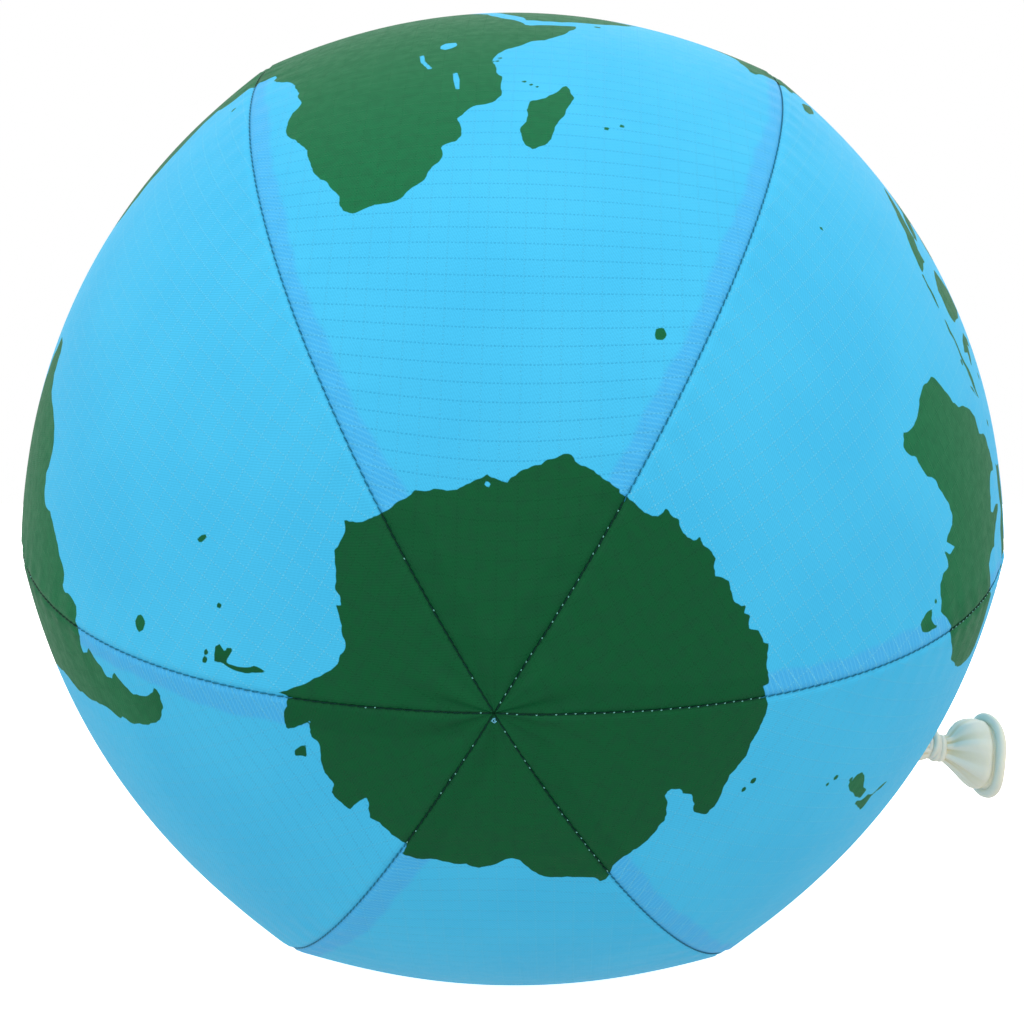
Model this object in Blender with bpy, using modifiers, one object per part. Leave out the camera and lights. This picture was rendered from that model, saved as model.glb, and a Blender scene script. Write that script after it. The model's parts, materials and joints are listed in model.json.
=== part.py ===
"""A balloon ball: a cloth cover of six sewn gores with a rubber balloon inside.

Units are metres and degrees. +Z is up. The south pole of the ball faces -Y and dips below the
horizon, and the balloon's tied neck sticks out towards +X. The origin is the centre of the small
flat patch that the ball rests on. Run with: blender --background --python part.py
"""

import math

import bmesh
import bpy
from mathutils import Matrix, Vector

# The inflated shape.
RADIUS = 0.124  # ball's axis to the middle of a gore, at the equator
POLAR_STRETCH = 1.09  # polar radius over RADIUS
SEAM_RIDGE = 0.147  # how hexagonal the equator is: 0 is round, 1 is flat between seams
POLAR_RIDGE = 0.40  # the same, added towards the poles
HALF_GORE = 30.0

# How the ball lies.
SOUTH_POLE_DIP = 20.2  # south pole below the horizon
HEADING = -1.9  # turn of the south pole away from -Y
SEAM_LONGITUDES = (-119.4, -57.9, 2.6, 60.9, 120.0, 179.5)
PATCH_DEPTH = 0.0004  # how much the resting patch flattens the cloth

# The cloth and its seams.
CLOTH = 0.0008
LAYER_STEP = 0.0011  # from one layer of cloth to the layer under it
POLE_STOP = 1.5  # the gores' tips end this far from each pole
LAP = 0.0065  # seam allowance, turned under the gore beside it
WIDEST_LAP = 0.4  # of the gore's width, near its tips
SEAM_GAP = 0.0007  # gore's edge to the middle of the seam
THREAD = 0.0004  # radius of a row of stitching
GORE_COLUMNS = 5
ROW_PITCH = 7.0
MERGE = 0.00001  # points closer than this are one

# The opening, across the gore between the third and fourth seams.
OPENING_HINGE = -9.5  # latitude of the fold that the flap lifts on
UNDER_HEM = -12.5  # latitude of the hem that lies under it
OPENING_COLUMNS = 8
FLAP_COLUMNS = (1, 7)
FLAP_DEPTH = 0.014
FLAP_ROUNDING = 3.2  # half width of the flap's ellipse, in columns
FLAP_GAP = 0.0003
EDGE_GAP = 0.0010
WARP_TOP = 30.0  # rows above this latitude are straight again
HEM_INSET = 0.004
LOWEST_STITCH = 0.3  # of the flap's stitching, above the fold
FLAP_ROWS = (0.0, 0.5, 1.0)  # shares of the way from the fold to the flap's edge

# The balloon.
BALLOON_WALL = 0.0006
BALLOON_SINK = 0.0030  # its surface, under the cloth's
BALLOON_SEGMENTS = 24
BALLOON_RINGS = 16
NECK_FRACTION = 0.539  # place of the neck across the opening's gore
NECK_PAST_FLAP = 0.6  # of latitude, from the flap's edge to the neck's middle
NECK_DIRECTION = Vector((0.960, 0.250, -0.126)).normalized()  # in world axes
NECK_RADIUS = 0.0024
NECK_BORE = 0.0012
NECK_HOLE = 0.0034  # room for the neck between the hems
HOLE_PAST_HEM = 1.0  # of latitude, that the hole runs south of the under hem
HOLE_LENGTH = 0.03
HOLE_SIDES = 12
NECK_START = -0.0036  # along the neck, from the cloth's surface
KNOT_CENTRE = 0.0108  # the knot and the tail both swing about this point
KNOT_HALF_LENGTH = 0.0029
KNOT_RADIUS = 0.0037
KNOT_CLEARANCE = 0.0037  # from the knot's centre to the neck's end and to the tail's root
KNOT_STEPS = 12
WRAP_DEPTH = 0.1  # of the knot's radius, between its rounds of wrapped rubber
TAIL_END = 0.0245
TAIL_RADIUS = 0.0092
TAIL_WALL = 0.0008
TAIL_STEPS = 6
LIP_RADIUS = 0.0099
LIP_BEAD = 0.0017
LIP_SIDES = 10
JOINT_GAP = 0.0003
TURNED_STEPS = 20

FLOOR_BLOCK = (0.06, 0.06, 0.01)  # flattens the resting patch

# Colours and surfaces: base colour, roughness.
SEA = (0.10, 0.44, 0.83), 0.6
THREAD_BLUE = (0.02, 0.14, 0.24), 0.7
LATEX = (0.80, 0.80, 0.68), 0.4


def clear_scene():
    for item in list(bpy.data.objects):
        bpy.data.objects.remove(item)


def new_collection(name):
    group = bpy.data.collections.new(name)
    bpy.context.scene.collection.children.link(group)
    return group


def new_material(name, look):
    colour, roughness = look
    material = bpy.data.materials.new(name)
    material.use_nodes = True
    shader = material.node_tree.nodes["Principled BSDF"]
    shader.inputs["Base Color"].default_value = (*colour, 1.0)
    shader.inputs["Roughness"].default_value = roughness
    shader.inputs["Metallic"].default_value = 0.0
    return material


clear_scene()
PARTS = new_collection("balloon_ball")
CUTTERS = new_collection("cutters")
CLOTH_MATERIAL = new_material("ripstop_cloth", SEA)
THREAD_MATERIAL = new_material("sewing_thread", THREAD_BLUE)
LATEX_MATERIAL = new_material("balloon_rubber", LATEX)


# The shape of the ball, in its own axes: +Z is its north pole and the origin is its centre.


def ridge(latitude, angle_off_middle):
    """How far the gore's cross-section stands out beyond a circle, as a factor."""
    hexagonal = SEAM_RIDGE + POLAR_RIDGE * math.sin(math.radians(latitude)) ** 2
    return 1 + hexagonal * (1 / math.cos(math.radians(angle_off_middle)) - 1)


def seam_longitude(number):
    return SEAM_LONGITUDES[number % 6] + 360 * (number // 6)


def gore_angle(gore):
    return seam_longitude(gore + 1) - seam_longitude(gore)


def on_ball(gore, fraction, latitude, depth=0.0):
    """The point at a fraction of the way across a gore, at a depth under the cloth's outside."""
    longitude = math.radians(seam_longitude(gore) + fraction * gore_angle(gore))
    lat = math.radians(latitude)
    off_middle = (abs((fraction + 0.5) % 1.0 - 0.5) * 2 - 1) * HALF_GORE
    reach = RADIUS * math.cos(lat) * ridge(latitude, off_middle)
    height = RADIUS * POLAR_STRETCH * math.sin(lat)
    place = Vector((reach * math.cos(longitude), reach * math.sin(longitude), height))
    outward = Vector((place.x, place.y, place.z / POLAR_STRETCH**2)).normalized()
    return place - depth * outward


def gore_width(gore, latitude):
    return RADIUS * math.cos(math.radians(latitude)) * math.radians(gore_angle(gore))


def span(start, end, steps):
    return [start + (end - start) * n / steps for n in range(steps + 1)]


SOUTH_ROWS = span(POLE_STOP - 90, UNDER_HEM, round((UNDER_HEM + 90 - POLE_STOP) / ROW_PITCH))
NORTH_ROWS = span(OPENING_HINGE, 90 - POLE_STOP, round((90 - POLE_STOP - OPENING_HINGE) / ROW_PITCH))
ALL_ROWS = SOUTH_ROWS + NORTH_ROWS


def columns_across(width, columns, lap_west, lap_east):
    """The columns of a gore at one latitude, from west to east: fraction and layer of each."""
    lap = min(LAP / width, WIDEST_LAP)
    gap = SEAM_GAP / width
    inner = [(lap + (1 - 2 * lap) * k / columns, 0) for k in range(columns + 1)]
    row = [(gap, 0)] + inner + [(1 - gap, 0)]
    if lap_west:
        row = [(-lap, 1), (gap, 1)] + row
    if lap_east:
        row = row + [(1 - gap, 1), (1 + lap, 1)]
    return row


# Building the cloth.


def add_object(name, mesh, material):
    mesh.materials.clear()
    mesh.materials.append(material)
    item = bpy.data.objects.new(name, mesh)
    PARTS.objects.link(item)
    return item


def cloth_sheet(name, rows, left_out=lambda column, row: False):
    """One sheet of cloth through rows of points, each given from west to east, from the south up."""
    across, up = len(rows[0]) - 1, len(rows) - 1
    shape = bmesh.new()
    bmesh.ops.create_grid(shape, x_segments=across, y_segments=up, size=1.0)
    unwanted = []
    for face in shape.faces:
        middle = face.calc_center_median()
        column = int((middle.x + 1) / 2 * across)
        row = int((middle.y + 1) / 2 * up)
        if left_out(column, row):
            unwanted.append(face)
    for corner in shape.verts:
        column = round((corner.co.x + 1) / 2 * across)
        row = round((corner.co.y + 1) / 2 * up)
        corner.co = rows[row][column]
    bmesh.ops.delete(shape, geom=unwanted, context="FACES")
    bmesh.ops.remove_doubles(shape, verts=shape.verts, dist=MERGE)
    mesh = bpy.data.meshes.new(name)
    shape.to_mesh(mesh)
    shape.free()
    item = add_object(name, mesh, CLOTH_MATERIAL)
    shell = item.modifiers.new("cloth", "SOLIDIFY")
    shell.thickness = CLOTH
    shell.offset = -1.0
    shell.use_even_offset = True
    return item


def gore_rows(gore, latitudes, columns, lap_west, lap_east, sheet_depth=0.0):
    rows = []
    for latitude in latitudes:
        across = columns_across(gore_width(gore, latitude), columns, lap_west, lap_east)
        rows.append(
            [
                on_ball(gore, fraction, latitude, max(sheet_depth, layer * LAYER_STEP))
                for fraction, layer in across
            ]
        )
    return rows


def whole_gore(gore, lap_west, lap_east):
    rows = gore_rows(gore, ALL_ROWS, GORE_COLUMNS, lap_west, lap_east)
    return cloth_sheet(f"gore_{gore + 1}", rows)


# The opening's gore: two panels that overlap, the southern one outside with a rounded flap.

OPENING_GORE = 2
METRES_PER_DEGREE = RADIUS * math.radians(1)


def flap_rise(column):
    """Degrees of latitude from the fold to the flap's edge, at a column of the opening's gore."""
    across = (column - OPENING_COLUMNS / 2) / FLAP_ROUNDING
    return FLAP_DEPTH / METRES_PER_DEGREE * math.sqrt(max(0.0, 1 - across * across))


def column_fraction(column, latitude):
    lap = LAP / gore_width(OPENING_GORE, latitude)
    return lap + (1 - 2 * lap) * column / OPENING_COLUMNS


def neck_column():
    lap = LAP / gore_width(OPENING_GORE, OPENING_HINGE)
    return (NECK_FRACTION - lap) / (1 - 2 * lap) * OPENING_COLUMNS


NECK_LATITUDE = OPENING_HINGE + flap_rise(neck_column()) + NECK_PAST_FLAP


def south_panel():
    latitudes = SOUTH_ROWS + [OPENING_HINGE]
    rows = gore_rows(OPENING_GORE, latitudes, OPENING_COLUMNS, True, False)
    last = len(latitudes) - 2
    return cloth_sheet(
        "opening_panel_south", rows, lambda column, row: column < 2 and row >= last - 1
    )


def north_panel():
    """The panel that lies under the flap: its rows follow the flap's edge, then step down."""
    under_hem = UNDER_HEM + EDGE_GAP / METRES_PER_DEGREE
    levels = [
        (under_hem, 0.0, LAYER_STEP),
        (OPENING_HINGE, 0.0, LAYER_STEP),
        (OPENING_HINGE, 1.0, LAYER_STEP),
    ]
    for latitude in NORTH_ROWS:
        fade = max(0.0, (WARP_TOP - latitude) / (WARP_TOP - OPENING_HINGE))
        levels.append((latitude, fade, 0.0))
    rows = []
    for latitude, follow, depth in levels:
        width = gore_width(OPENING_GORE, latitude)
        across = columns_across(width, OPENING_COLUMNS, True, False)
        if latitude <= OPENING_HINGE:
            fraction, layer = across[-2]
            across[-2] = (fraction - 2 * SEAM_GAP / width, layer)
        row = []
        for number, (fraction, layer) in enumerate(across):
            rise = (flap_rise(number - 3) + EDGE_GAP / METRES_PER_DEGREE) * follow
            under = max(depth, layer * LAYER_STEP)
            row.append(on_ball(OPENING_GORE, fraction, latitude + rise, under))
        rows.append(row)
    last_column = len(rows[0]) - 2
    stepped = len(levels) - len(NORTH_ROWS)
    panel = cloth_sheet(
        "opening_panel_north", rows, lambda column, row: column == last_column and row < stepped
    )
    cut(panel, neck_slot("under_panel_slot", UNDER_HEM - HOLE_PAST_HEM))
    return panel


def opening_flap():
    rows = []
    for share in FLAP_ROWS:
        row = []
        for column in range(FLAP_COLUMNS[0], FLAP_COLUMNS[1] + 1):
            latitude = OPENING_HINGE + FLAP_GAP / METRES_PER_DEGREE + share * flap_rise(column)
            row.append(on_ball(OPENING_GORE, column_fraction(column, latitude), latitude))
        rows.append(row)
    flap = cloth_sheet("opening_flap", rows)
    cut(flap, neck_slot("flap_notch", NECK_LATITUDE))
    return flap


def neck_slot(name, south_end):
    """A cutter round the neck, drawn out southwards to a latitude."""
    shape = bmesh.new()
    bmesh.ops.create_cone(
        shape,
        cap_ends=True,
        segments=HOLE_SIDES,
        radius1=NECK_HOLE,
        radius2=NECK_HOLE,
        depth=HOLE_LENGTH,
    )
    to_ball = neck_matrix()
    drawn_out = to_ball.inverted() @ on_ball(OPENING_GORE, NECK_FRACTION, south_end)
    sideways = Vector((drawn_out.x, drawn_out.y, 0.0))
    for corner in shape.verts:
        if corner.co.dot(sideways) > 0:
            corner.co += sideways
    bmesh.ops.transform(shape, matrix=to_ball, verts=shape.verts)
    mesh = bpy.data.meshes.new(name)
    shape.to_mesh(mesh)
    shape.free()
    return add_cutter(name, mesh)


def add_cutter(name, mesh):
    cutter = bpy.data.objects.new(name, mesh)
    cutter.hide_render = True
    cutter.display_type = "WIRE"
    CUTTERS.objects.link(cutter)
    return cutter


def cut(item, cutter):
    step = item.modifiers.new("cut", "BOOLEAN")
    step.operation = "DIFFERENCE"
    step.object = cutter


# Stitching: one row of thread along each seam, and one inside the flap's edge.


def thread_row(name, places):
    path = bpy.data.curves.new(name, "CURVE")
    path.dimensions = "3D"
    path.bevel_depth = THREAD
    path.bevel_resolution = 2
    path.use_fill_caps = True
    line = path.splines.new("POLY")
    line.points.add(len(places) - 1)
    for point, place in zip(line.points, places):
        point.co = (*place, 1.0)
    item = bpy.data.objects.new(name, path)
    path.materials.append(THREAD_MATERIAL)
    PARTS.objects.link(item)
    return item


def seam_thread(seam):
    places = [on_ball(seam, 0.0, latitude, THREAD) for latitude in ALL_ROWS]
    return thread_row(f"seam_stitching_{seam + 1}", places)


def hem_thread():
    places = []
    inset = HEM_INSET / METRES_PER_DEGREE
    for column in range(FLAP_COLUMNS[0], FLAP_COLUMNS[1] + 1):
        latitude = OPENING_HINGE + max(flap_rise(column) - inset, LOWEST_STITCH)
        fraction = column_fraction(column, latitude)
        places.append(on_ball(OPENING_GORE, fraction, latitude, -THREAD - JOINT_GAP))
    return thread_row("flap_hem_stitching", places)


# The balloon: its inflated body, and the neck, knot, tail and rolled lip on the neck's axis.


def ball_turn():
    return Matrix.Rotation(math.radians(HEADING), 4, "Z") @ Matrix.Rotation(
        math.radians(SOUTH_POLE_DIP - 90), 4, "X"
    )


def neck_matrix():
    """From the neck's own axes, +Z along it and the origin on the cloth, to the ball's axes."""
    along = ball_turn().to_3x3().inverted() @ NECK_DIRECTION
    base = on_ball(OPENING_GORE, NECK_FRACTION, NECK_LATITUDE)
    return Matrix.Translation(base) @ along.to_track_quat("Z", "Y").to_matrix().to_4x4()


def under_the_cloth(direction):
    """The point under the cloth where a ray from the ball's centre along direction ends."""
    longitude = math.degrees(math.atan2(direction.y, direction.x))
    gore = max(n for n in range(-6, 6) if seam_longitude(n) <= longitude)
    fraction = (longitude - seam_longitude(gore)) / gore_angle(gore)
    flat = math.hypot(direction.x, direction.y)
    latitude = math.degrees(math.atan2(direction.z, flat * POLAR_STRETCH))
    for _ in range(3):
        stretch = POLAR_STRETCH / ridge(latitude, (abs(fraction - 0.5) * 2) * HALF_GORE)
        latitude = math.degrees(math.atan2(direction.z, flat * stretch))
    return on_ball(gore, fraction, latitude, BALLOON_SINK)


def balloon_body():
    shape = bmesh.new()
    bmesh.ops.create_uvsphere(
        shape, u_segments=BALLOON_SEGMENTS, v_segments=BALLOON_RINGS, radius=1.0
    )
    for corner in shape.verts:
        corner.co = under_the_cloth(corner.co)
    mesh = bpy.data.meshes.new("balloon_body")
    shape.to_mesh(mesh)
    shape.free()
    mesh.shade_smooth()
    item = add_object("balloon_body", mesh, LATEX_MATERIAL)
    wall = item.modifiers.new("wall", "SOLIDIFY")
    wall.thickness = BALLOON_WALL
    wall.offset = -1.0
    bore = bmesh.new()
    bmesh.ops.create_cone(
        bore,
        cap_ends=True,
        segments=HOLE_SIDES,
        radius1=NECK_RADIUS + JOINT_GAP,
        radius2=NECK_RADIUS + JOINT_GAP,
        depth=HOLE_LENGTH,
        matrix=neck_matrix(),
    )
    bore_mesh = bpy.data.meshes.new("neck_bore")
    bore.to_mesh(bore_mesh)
    bore.free()
    cut(item, add_cutter("neck_bore", bore_mesh))
    return item


def turned(name, outline):
    """A piece turned on the neck's axis from a closed outline of (radius, distance along it)."""
    mesh = bpy.data.meshes.new(name)
    corners = [(radius, 0.0, along) for radius, along in outline]
    edges = [(n, n + 1) for n in range(len(corners) - 1)]
    if outline[0][0] > 0:
        edges.append((len(corners) - 1, 0))
    mesh.from_pydata(corners, edges, [])
    item = add_object(name, mesh, LATEX_MATERIAL)
    item.matrix_world = neck_matrix()
    spin = item.modifiers.new("turn", "SCREW")
    spin.steps = TURNED_STEPS
    spin.render_steps = TURNED_STEPS
    spin.use_merge_vertices = True
    spin.merge_threshold = MERGE
    return item


def balloon_neck():
    top = KNOT_CENTRE - KNOT_CLEARANCE
    outline = [(NECK_RADIUS, top), (NECK_RADIUS, NECK_START), (NECK_BORE, NECK_START), (NECK_BORE, top)]
    return turned("balloon_neck", outline)


def balloon_knot():
    """The tied neck: a lump with two rounds of wrapped rubber."""
    outline = [(0.0, KNOT_CENTRE + KNOT_HALF_LENGTH)]
    for angle in span(90.0, -90.0, KNOT_STEPS)[1:-1]:
        turn = math.radians(angle)
        wrap = 1 - WRAP_DEPTH * (1 + math.cos(3 * turn))
        radius = KNOT_RADIUS * math.sqrt(math.cos(turn)) * wrap
        outline.append((radius, KNOT_CENTRE + KNOT_HALF_LENGTH * math.sin(turn)))
    outline.append((0.0, KNOT_CENTRE - KNOT_HALF_LENGTH))
    return turned("balloon_knot", outline)


def balloon_tail():
    """The flared end of the neck, open at its mouth."""
    start = KNOT_CENTRE + KNOT_CLEARANCE
    root = NECK_RADIUS
    outside = []
    for share in span(0.0, 1.0, TAIL_STEPS):
        radius = root + (TAIL_RADIUS - root) * math.sin(share * math.pi / 2)
        outside.append((radius, start + (TAIL_END - start) * share))
    inside = [(radius - TAIL_WALL, along) for radius, along in outside]
    inside[0] = (root - TAIL_WALL, start)
    return turned("balloon_tail", outside[::-1] + inside)


def balloon_lip():
    """The rolled bead round the mouth."""
    centre = TAIL_END + LIP_BEAD + JOINT_GAP
    outline = []
    for n in range(LIP_SIDES):
        angle = -2 * math.pi * n / LIP_SIDES
        outline.append((LIP_RADIUS + LIP_BEAD * math.cos(angle), centre + LIP_BEAD * math.sin(angle)))
    return turned("balloon_lip", outline)


# Placing everything.


def add_empty(name, matrix):
    empty = bpy.data.objects.new(name, None)
    PARTS.objects.link(empty)
    empty.matrix_world = matrix
    return empty


def resting_frame(bottom_gore):
    """The ball's matrix in the world, which puts the resting patch's centre at the origin."""
    turn = ball_turn()
    corners = [turn @ corner.co for corner in bottom_gore.data.vertices]
    floor = min(corner.z for corner in corners) + PATCH_DEPTH
    flattened = [corner for corner in corners if corner.z < floor]
    middle = sum(flattened, Vector()) / len(flattened)
    return Matrix.Translation((-middle.x, -middle.y, -floor)) @ turn


def flatten_patch(bottom_gore, frame):
    shape = bmesh.new()
    bmesh.ops.create_cube(shape, size=1.0)
    size = Matrix.Diagonal((*FLOOR_BLOCK, 1.0))
    below = Matrix.Translation((0.0, 0.0, -FLOOR_BLOCK[2] / 2))
    bmesh.ops.transform(shape, matrix=frame.inverted() @ below @ size, verts=shape.verts)
    mesh = bpy.data.meshes.new("floor_block")
    shape.to_mesh(mesh)
    shape.free()
    cut(bottom_gore, add_cutter("floor_block", mesh))


def flap_hinge_matrix():
    """The fold's axis: level with the cloth at the middle of the gore, running east."""
    place = on_ball(OPENING_GORE, 0.5, OPENING_HINGE)
    east = on_ball(OPENING_GORE, 0.6, OPENING_HINGE) - on_ball(OPENING_GORE, 0.4, OPENING_HINGE)
    return Matrix.Translation(place) @ east.to_track_quat("X", "Z").to_matrix().to_4x4()


def build():
    gores = {
        0: whole_gore(0, False, False),
        1: whole_gore(1, True, False),
        3: whole_gore(3, True, False),
        4: whole_gore(4, True, False),
        5: whole_gore(5, True, True),
    }
    fixed = list(gores.values()) + [south_panel(), north_panel(), balloon_body()]
    fixed += [seam_thread(seam) for seam in range(6)]
    lifting = [opening_flap(), hem_thread()]
    neck, knot = balloon_neck(), balloon_knot()
    flared = [balloon_tail(), balloon_lip()]

    frame = resting_frame(gores[3])
    flatten_patch(gores[3], frame)
    ball = add_empty("ball", frame)
    hinge = add_empty("flap_hinge", frame @ flap_hinge_matrix())
    neck_frame = frame @ neck_matrix()
    slide = add_empty("neck_slide", neck_frame)
    pivot = neck_frame @ Matrix.Translation((0.0, 0.0, KNOT_CENTRE))
    groups = (
        (ball, fixed + list(CUTTERS.objects)),
        (hinge, lifting),
        (slide, [neck]),
        (add_empty("knot_pivot", pivot), [knot]),
        (add_empty("tail_pivot", pivot), flared),
    )
    for parent, items in groups:
        for item in items:
            item.parent = parent
            item.matrix_parent_inverse = parent.matrix_world.inverted() @ frame


build()
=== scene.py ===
"""The looks of the balloon ball: printed ripstop cloth, its stitching, and the balloon's tied end.

Units are metres and degrees. The ball's own axes have +Z at the printed map's north pole, and
`ball_frame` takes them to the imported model's frame.
"""

import json
import math
import random

import bmesh
import bpy
import numpy as np
from mathutils import Matrix, Vector
from mathutils.kdtree import KDTree


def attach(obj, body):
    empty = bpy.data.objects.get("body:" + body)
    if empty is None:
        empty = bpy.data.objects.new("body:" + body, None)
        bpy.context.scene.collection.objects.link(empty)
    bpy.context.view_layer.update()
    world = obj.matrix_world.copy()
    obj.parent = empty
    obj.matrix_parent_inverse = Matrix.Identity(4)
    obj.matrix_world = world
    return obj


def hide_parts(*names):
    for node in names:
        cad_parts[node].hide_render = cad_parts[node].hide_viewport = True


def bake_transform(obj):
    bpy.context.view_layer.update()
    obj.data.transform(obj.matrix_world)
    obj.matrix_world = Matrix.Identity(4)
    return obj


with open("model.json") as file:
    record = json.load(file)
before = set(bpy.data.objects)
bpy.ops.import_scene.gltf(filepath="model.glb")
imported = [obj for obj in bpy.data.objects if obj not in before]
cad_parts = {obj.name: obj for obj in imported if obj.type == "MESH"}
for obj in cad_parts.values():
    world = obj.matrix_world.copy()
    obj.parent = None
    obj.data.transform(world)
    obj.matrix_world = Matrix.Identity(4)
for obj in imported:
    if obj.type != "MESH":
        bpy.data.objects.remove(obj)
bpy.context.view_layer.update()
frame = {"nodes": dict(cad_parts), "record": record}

# The inflated shape, the same as the part's.
RADIUS = 0.124
POLAR_STRETCH = 1.09
SEAM_RIDGE = 0.147
POLAR_RIDGE = 0.40
HALF_GORE = 30.0
SOUTH_POLE_DIP = 20.2
HEADING = -1.9
SEAM_LONGITUDES = (-119.4, -57.9, 2.6, 60.9, 120.0, 179.5)
METRES_PER_DEGREE = RADIUS * math.radians(1)

# The cloth.
ROW_STEP = 0.00074
GORE_COLUMNS = 172
SEAM_COLUMNS = (0.0, 0.0020, 0.0040)  # the closer ones beside a seam, as shares of the gore's width
SEAM_DIP = 0.0006  # how far the cloth is drawn in by a seam
DIP_WIDTH = 0.0008
PUCKER = 0.00016
PUCKER_PITCH = 0.0087
PUCKER_REACH = 0.0075
SEAM_FADE = 0.02  # dips and puckers fade where a gore gets narrower than this
POLE_WRINKLE = 0.00042
WRINKLE_CENTRE = 5.0  # degrees from the pole
WRINKLE_REACH = 3.5
FLOOR_ROUNDING = 0.0003  # the cloth bends this softly where it meets the floor
ALLOWANCE = 0.0043  # width of the doubled cloth beside a seam
ALLOWANCE_SOFTNESS = 0.0008
POLAR_SPREAD = 0.6  # how much wider it lies towards the south pole
SEAM_SHADOW_HALF_WIDTH = 0.00036  # half width of the painted shadow in the gap along a seam
CLOTH_LAYER = 0.0011  # from the flap's outside to the panel under it
SEWN_LAYER = 0.0003  # the same where both are sewn into a seam
SEWN_REACH = 0.0035  # the layers part over this distance from the seam
SHELL_THICKNESS = 0.00025  # of the cloth whose edge lies open

# The opening, across the gore between the third and fourth seams.
OPENING_GORE = 2
OPENING_HINGE = -9.5
UNDER_HEM = -12.5
OPENING_COLUMNS = 8
LAP = 0.0065
FLAP_DEPTH = 0.014
FLAP_ROUNDING = 3.2
HEM_INSET = 0.004  # of the hem's stitches from the edge
HEM_RISE = 0.00035  # the folded hem stands this far above the cloth beside it
HEM_EDGE = 0.0004  # the rounding of its fold
HEM_WIDTH = 0.0052
HEM_FADE = 0.0008
FOLD_START = -0.6  # degrees from the hinge, to the first point that fold_line gives
FOLD_END = 1.6  # and to the second
FLAP_START = 3.0  # degrees south of the hinge, from which the rows run up to the curved edge
FLAP_ROWS = 24
UNDER_STEP = (0.3, 2.2)  # degrees north of the flap's edge, over which the under panel comes up
NECK_SLOT = 0.0027  # half width of the slot in the under panel

# The stitches.
STITCH_PITCH = 0.0021
STITCH_LENGTH = 0.0018
STITCH_SLANT = 9.0
THREAD_RADIUS = 0.00012
STITCH_ARCH = 0.00012
LOOP_LENGTH = 0.00045  # of the lower thread, where it shows between two stitches
LOOP_RADIUS = 0.00014
LOOPS_SHOWING = (0.12, 0.85, 0.85, 0.6, 0.6, 0.12)  # share of the loops that show, for each seam
LOOP_SEED = 23
SEAM_STITCH_LIFT = 0.0001
HEM_STITCH_LIFT = 0.0003
POLE_GAP = 0.3  # degrees between the poles and the last stitches
TUBE_SHARES = (0.0, 0.12, 0.35, 0.65, 0.88, 1.0)  # of a stitch's length, for its rings
TUBE_WIDTHS = (0.35, 0.85, 1.0, 1.0, 0.85, 0.35)
TUBE_SIDES = 6
POLE_KNOT_OFFSET = 0.0018  # from the pole to the middle of the knotted ends
POLE_KNOT_STRANDS = 3
POLE_KNOT_TURN = (0.7, 1.6)
POLE_KNOT_REACH = (0.0001, 0.0007)
POLE_KNOT_LIFT = 0.0002
POLE_KNOT_SEED = 11

# The balloon's tied end, along the neck's own axis from the cloth.
NECK_FRACTION = 0.539
NECK_PAST_FLAP = 0.6
NECK_DIRECTION = Vector((0.960, 0.250, -0.126)).normalized()
NECK_RADIUS = 0.0024
NECK_HOLE = 0.0034
NECK_START = -0.0036
NECK_FULLNESS = 1.12
NECK_BULGE = 0.52
BULGE_CENTRE = 0.0056
BULGE_REACH = 0.0030
NECK_TO_KNOT = 0.0021  # from the neck's end to the knot's centre
KNOT_CENTRE = 0.0108
TAIL_RINGS = 72
TAIL_THICKNESS = 0.0004
PLEATS = 7
PLEAT_REACH = 0.42  # share of the flared end over which its pleats fade
RIM_WAVE = 0.00035
LIP_RADIUS = 0.0099
LIP_CENTRE = 0.0261
LIP_DROP = 0.0005  # of its centre from the neck's axis
LIP_TILT = 0.0011  # the bead's upper side lies back, and its lower side forward
BEAD_HEIGHT = 0.0016
BEAD_WIDTH = 0.0013
BEAD_SIDES = 24

# The printed map. Its longitudes are turned against the gores, and its latitudes are squeezed.
PRINT_TURN = 130.0
PRINT_LATITUDES = (-90, -80, -70, -60, -50, -40, -30, -20, -10, 0, 10, 20, 35, 60, 90)
BALL_LATITUDES = (-90, -77, -66.5, -58, -49.5, -40.5, -33, -26, -18, -10, -2, 6.5, 20, 50, 90)
DOT_CORNERS = 7  # of a small island; an outline with more is roughened
COAST_LEVELS = 2
COAST_ROUGHNESS = 0.10
COAST_SAMPLE = 0.2  # degrees between the points that distances are measured to
COAST_SEED = 7
SHORE_REACH = 0.003  # the shore's distance is kept up to this
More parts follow.
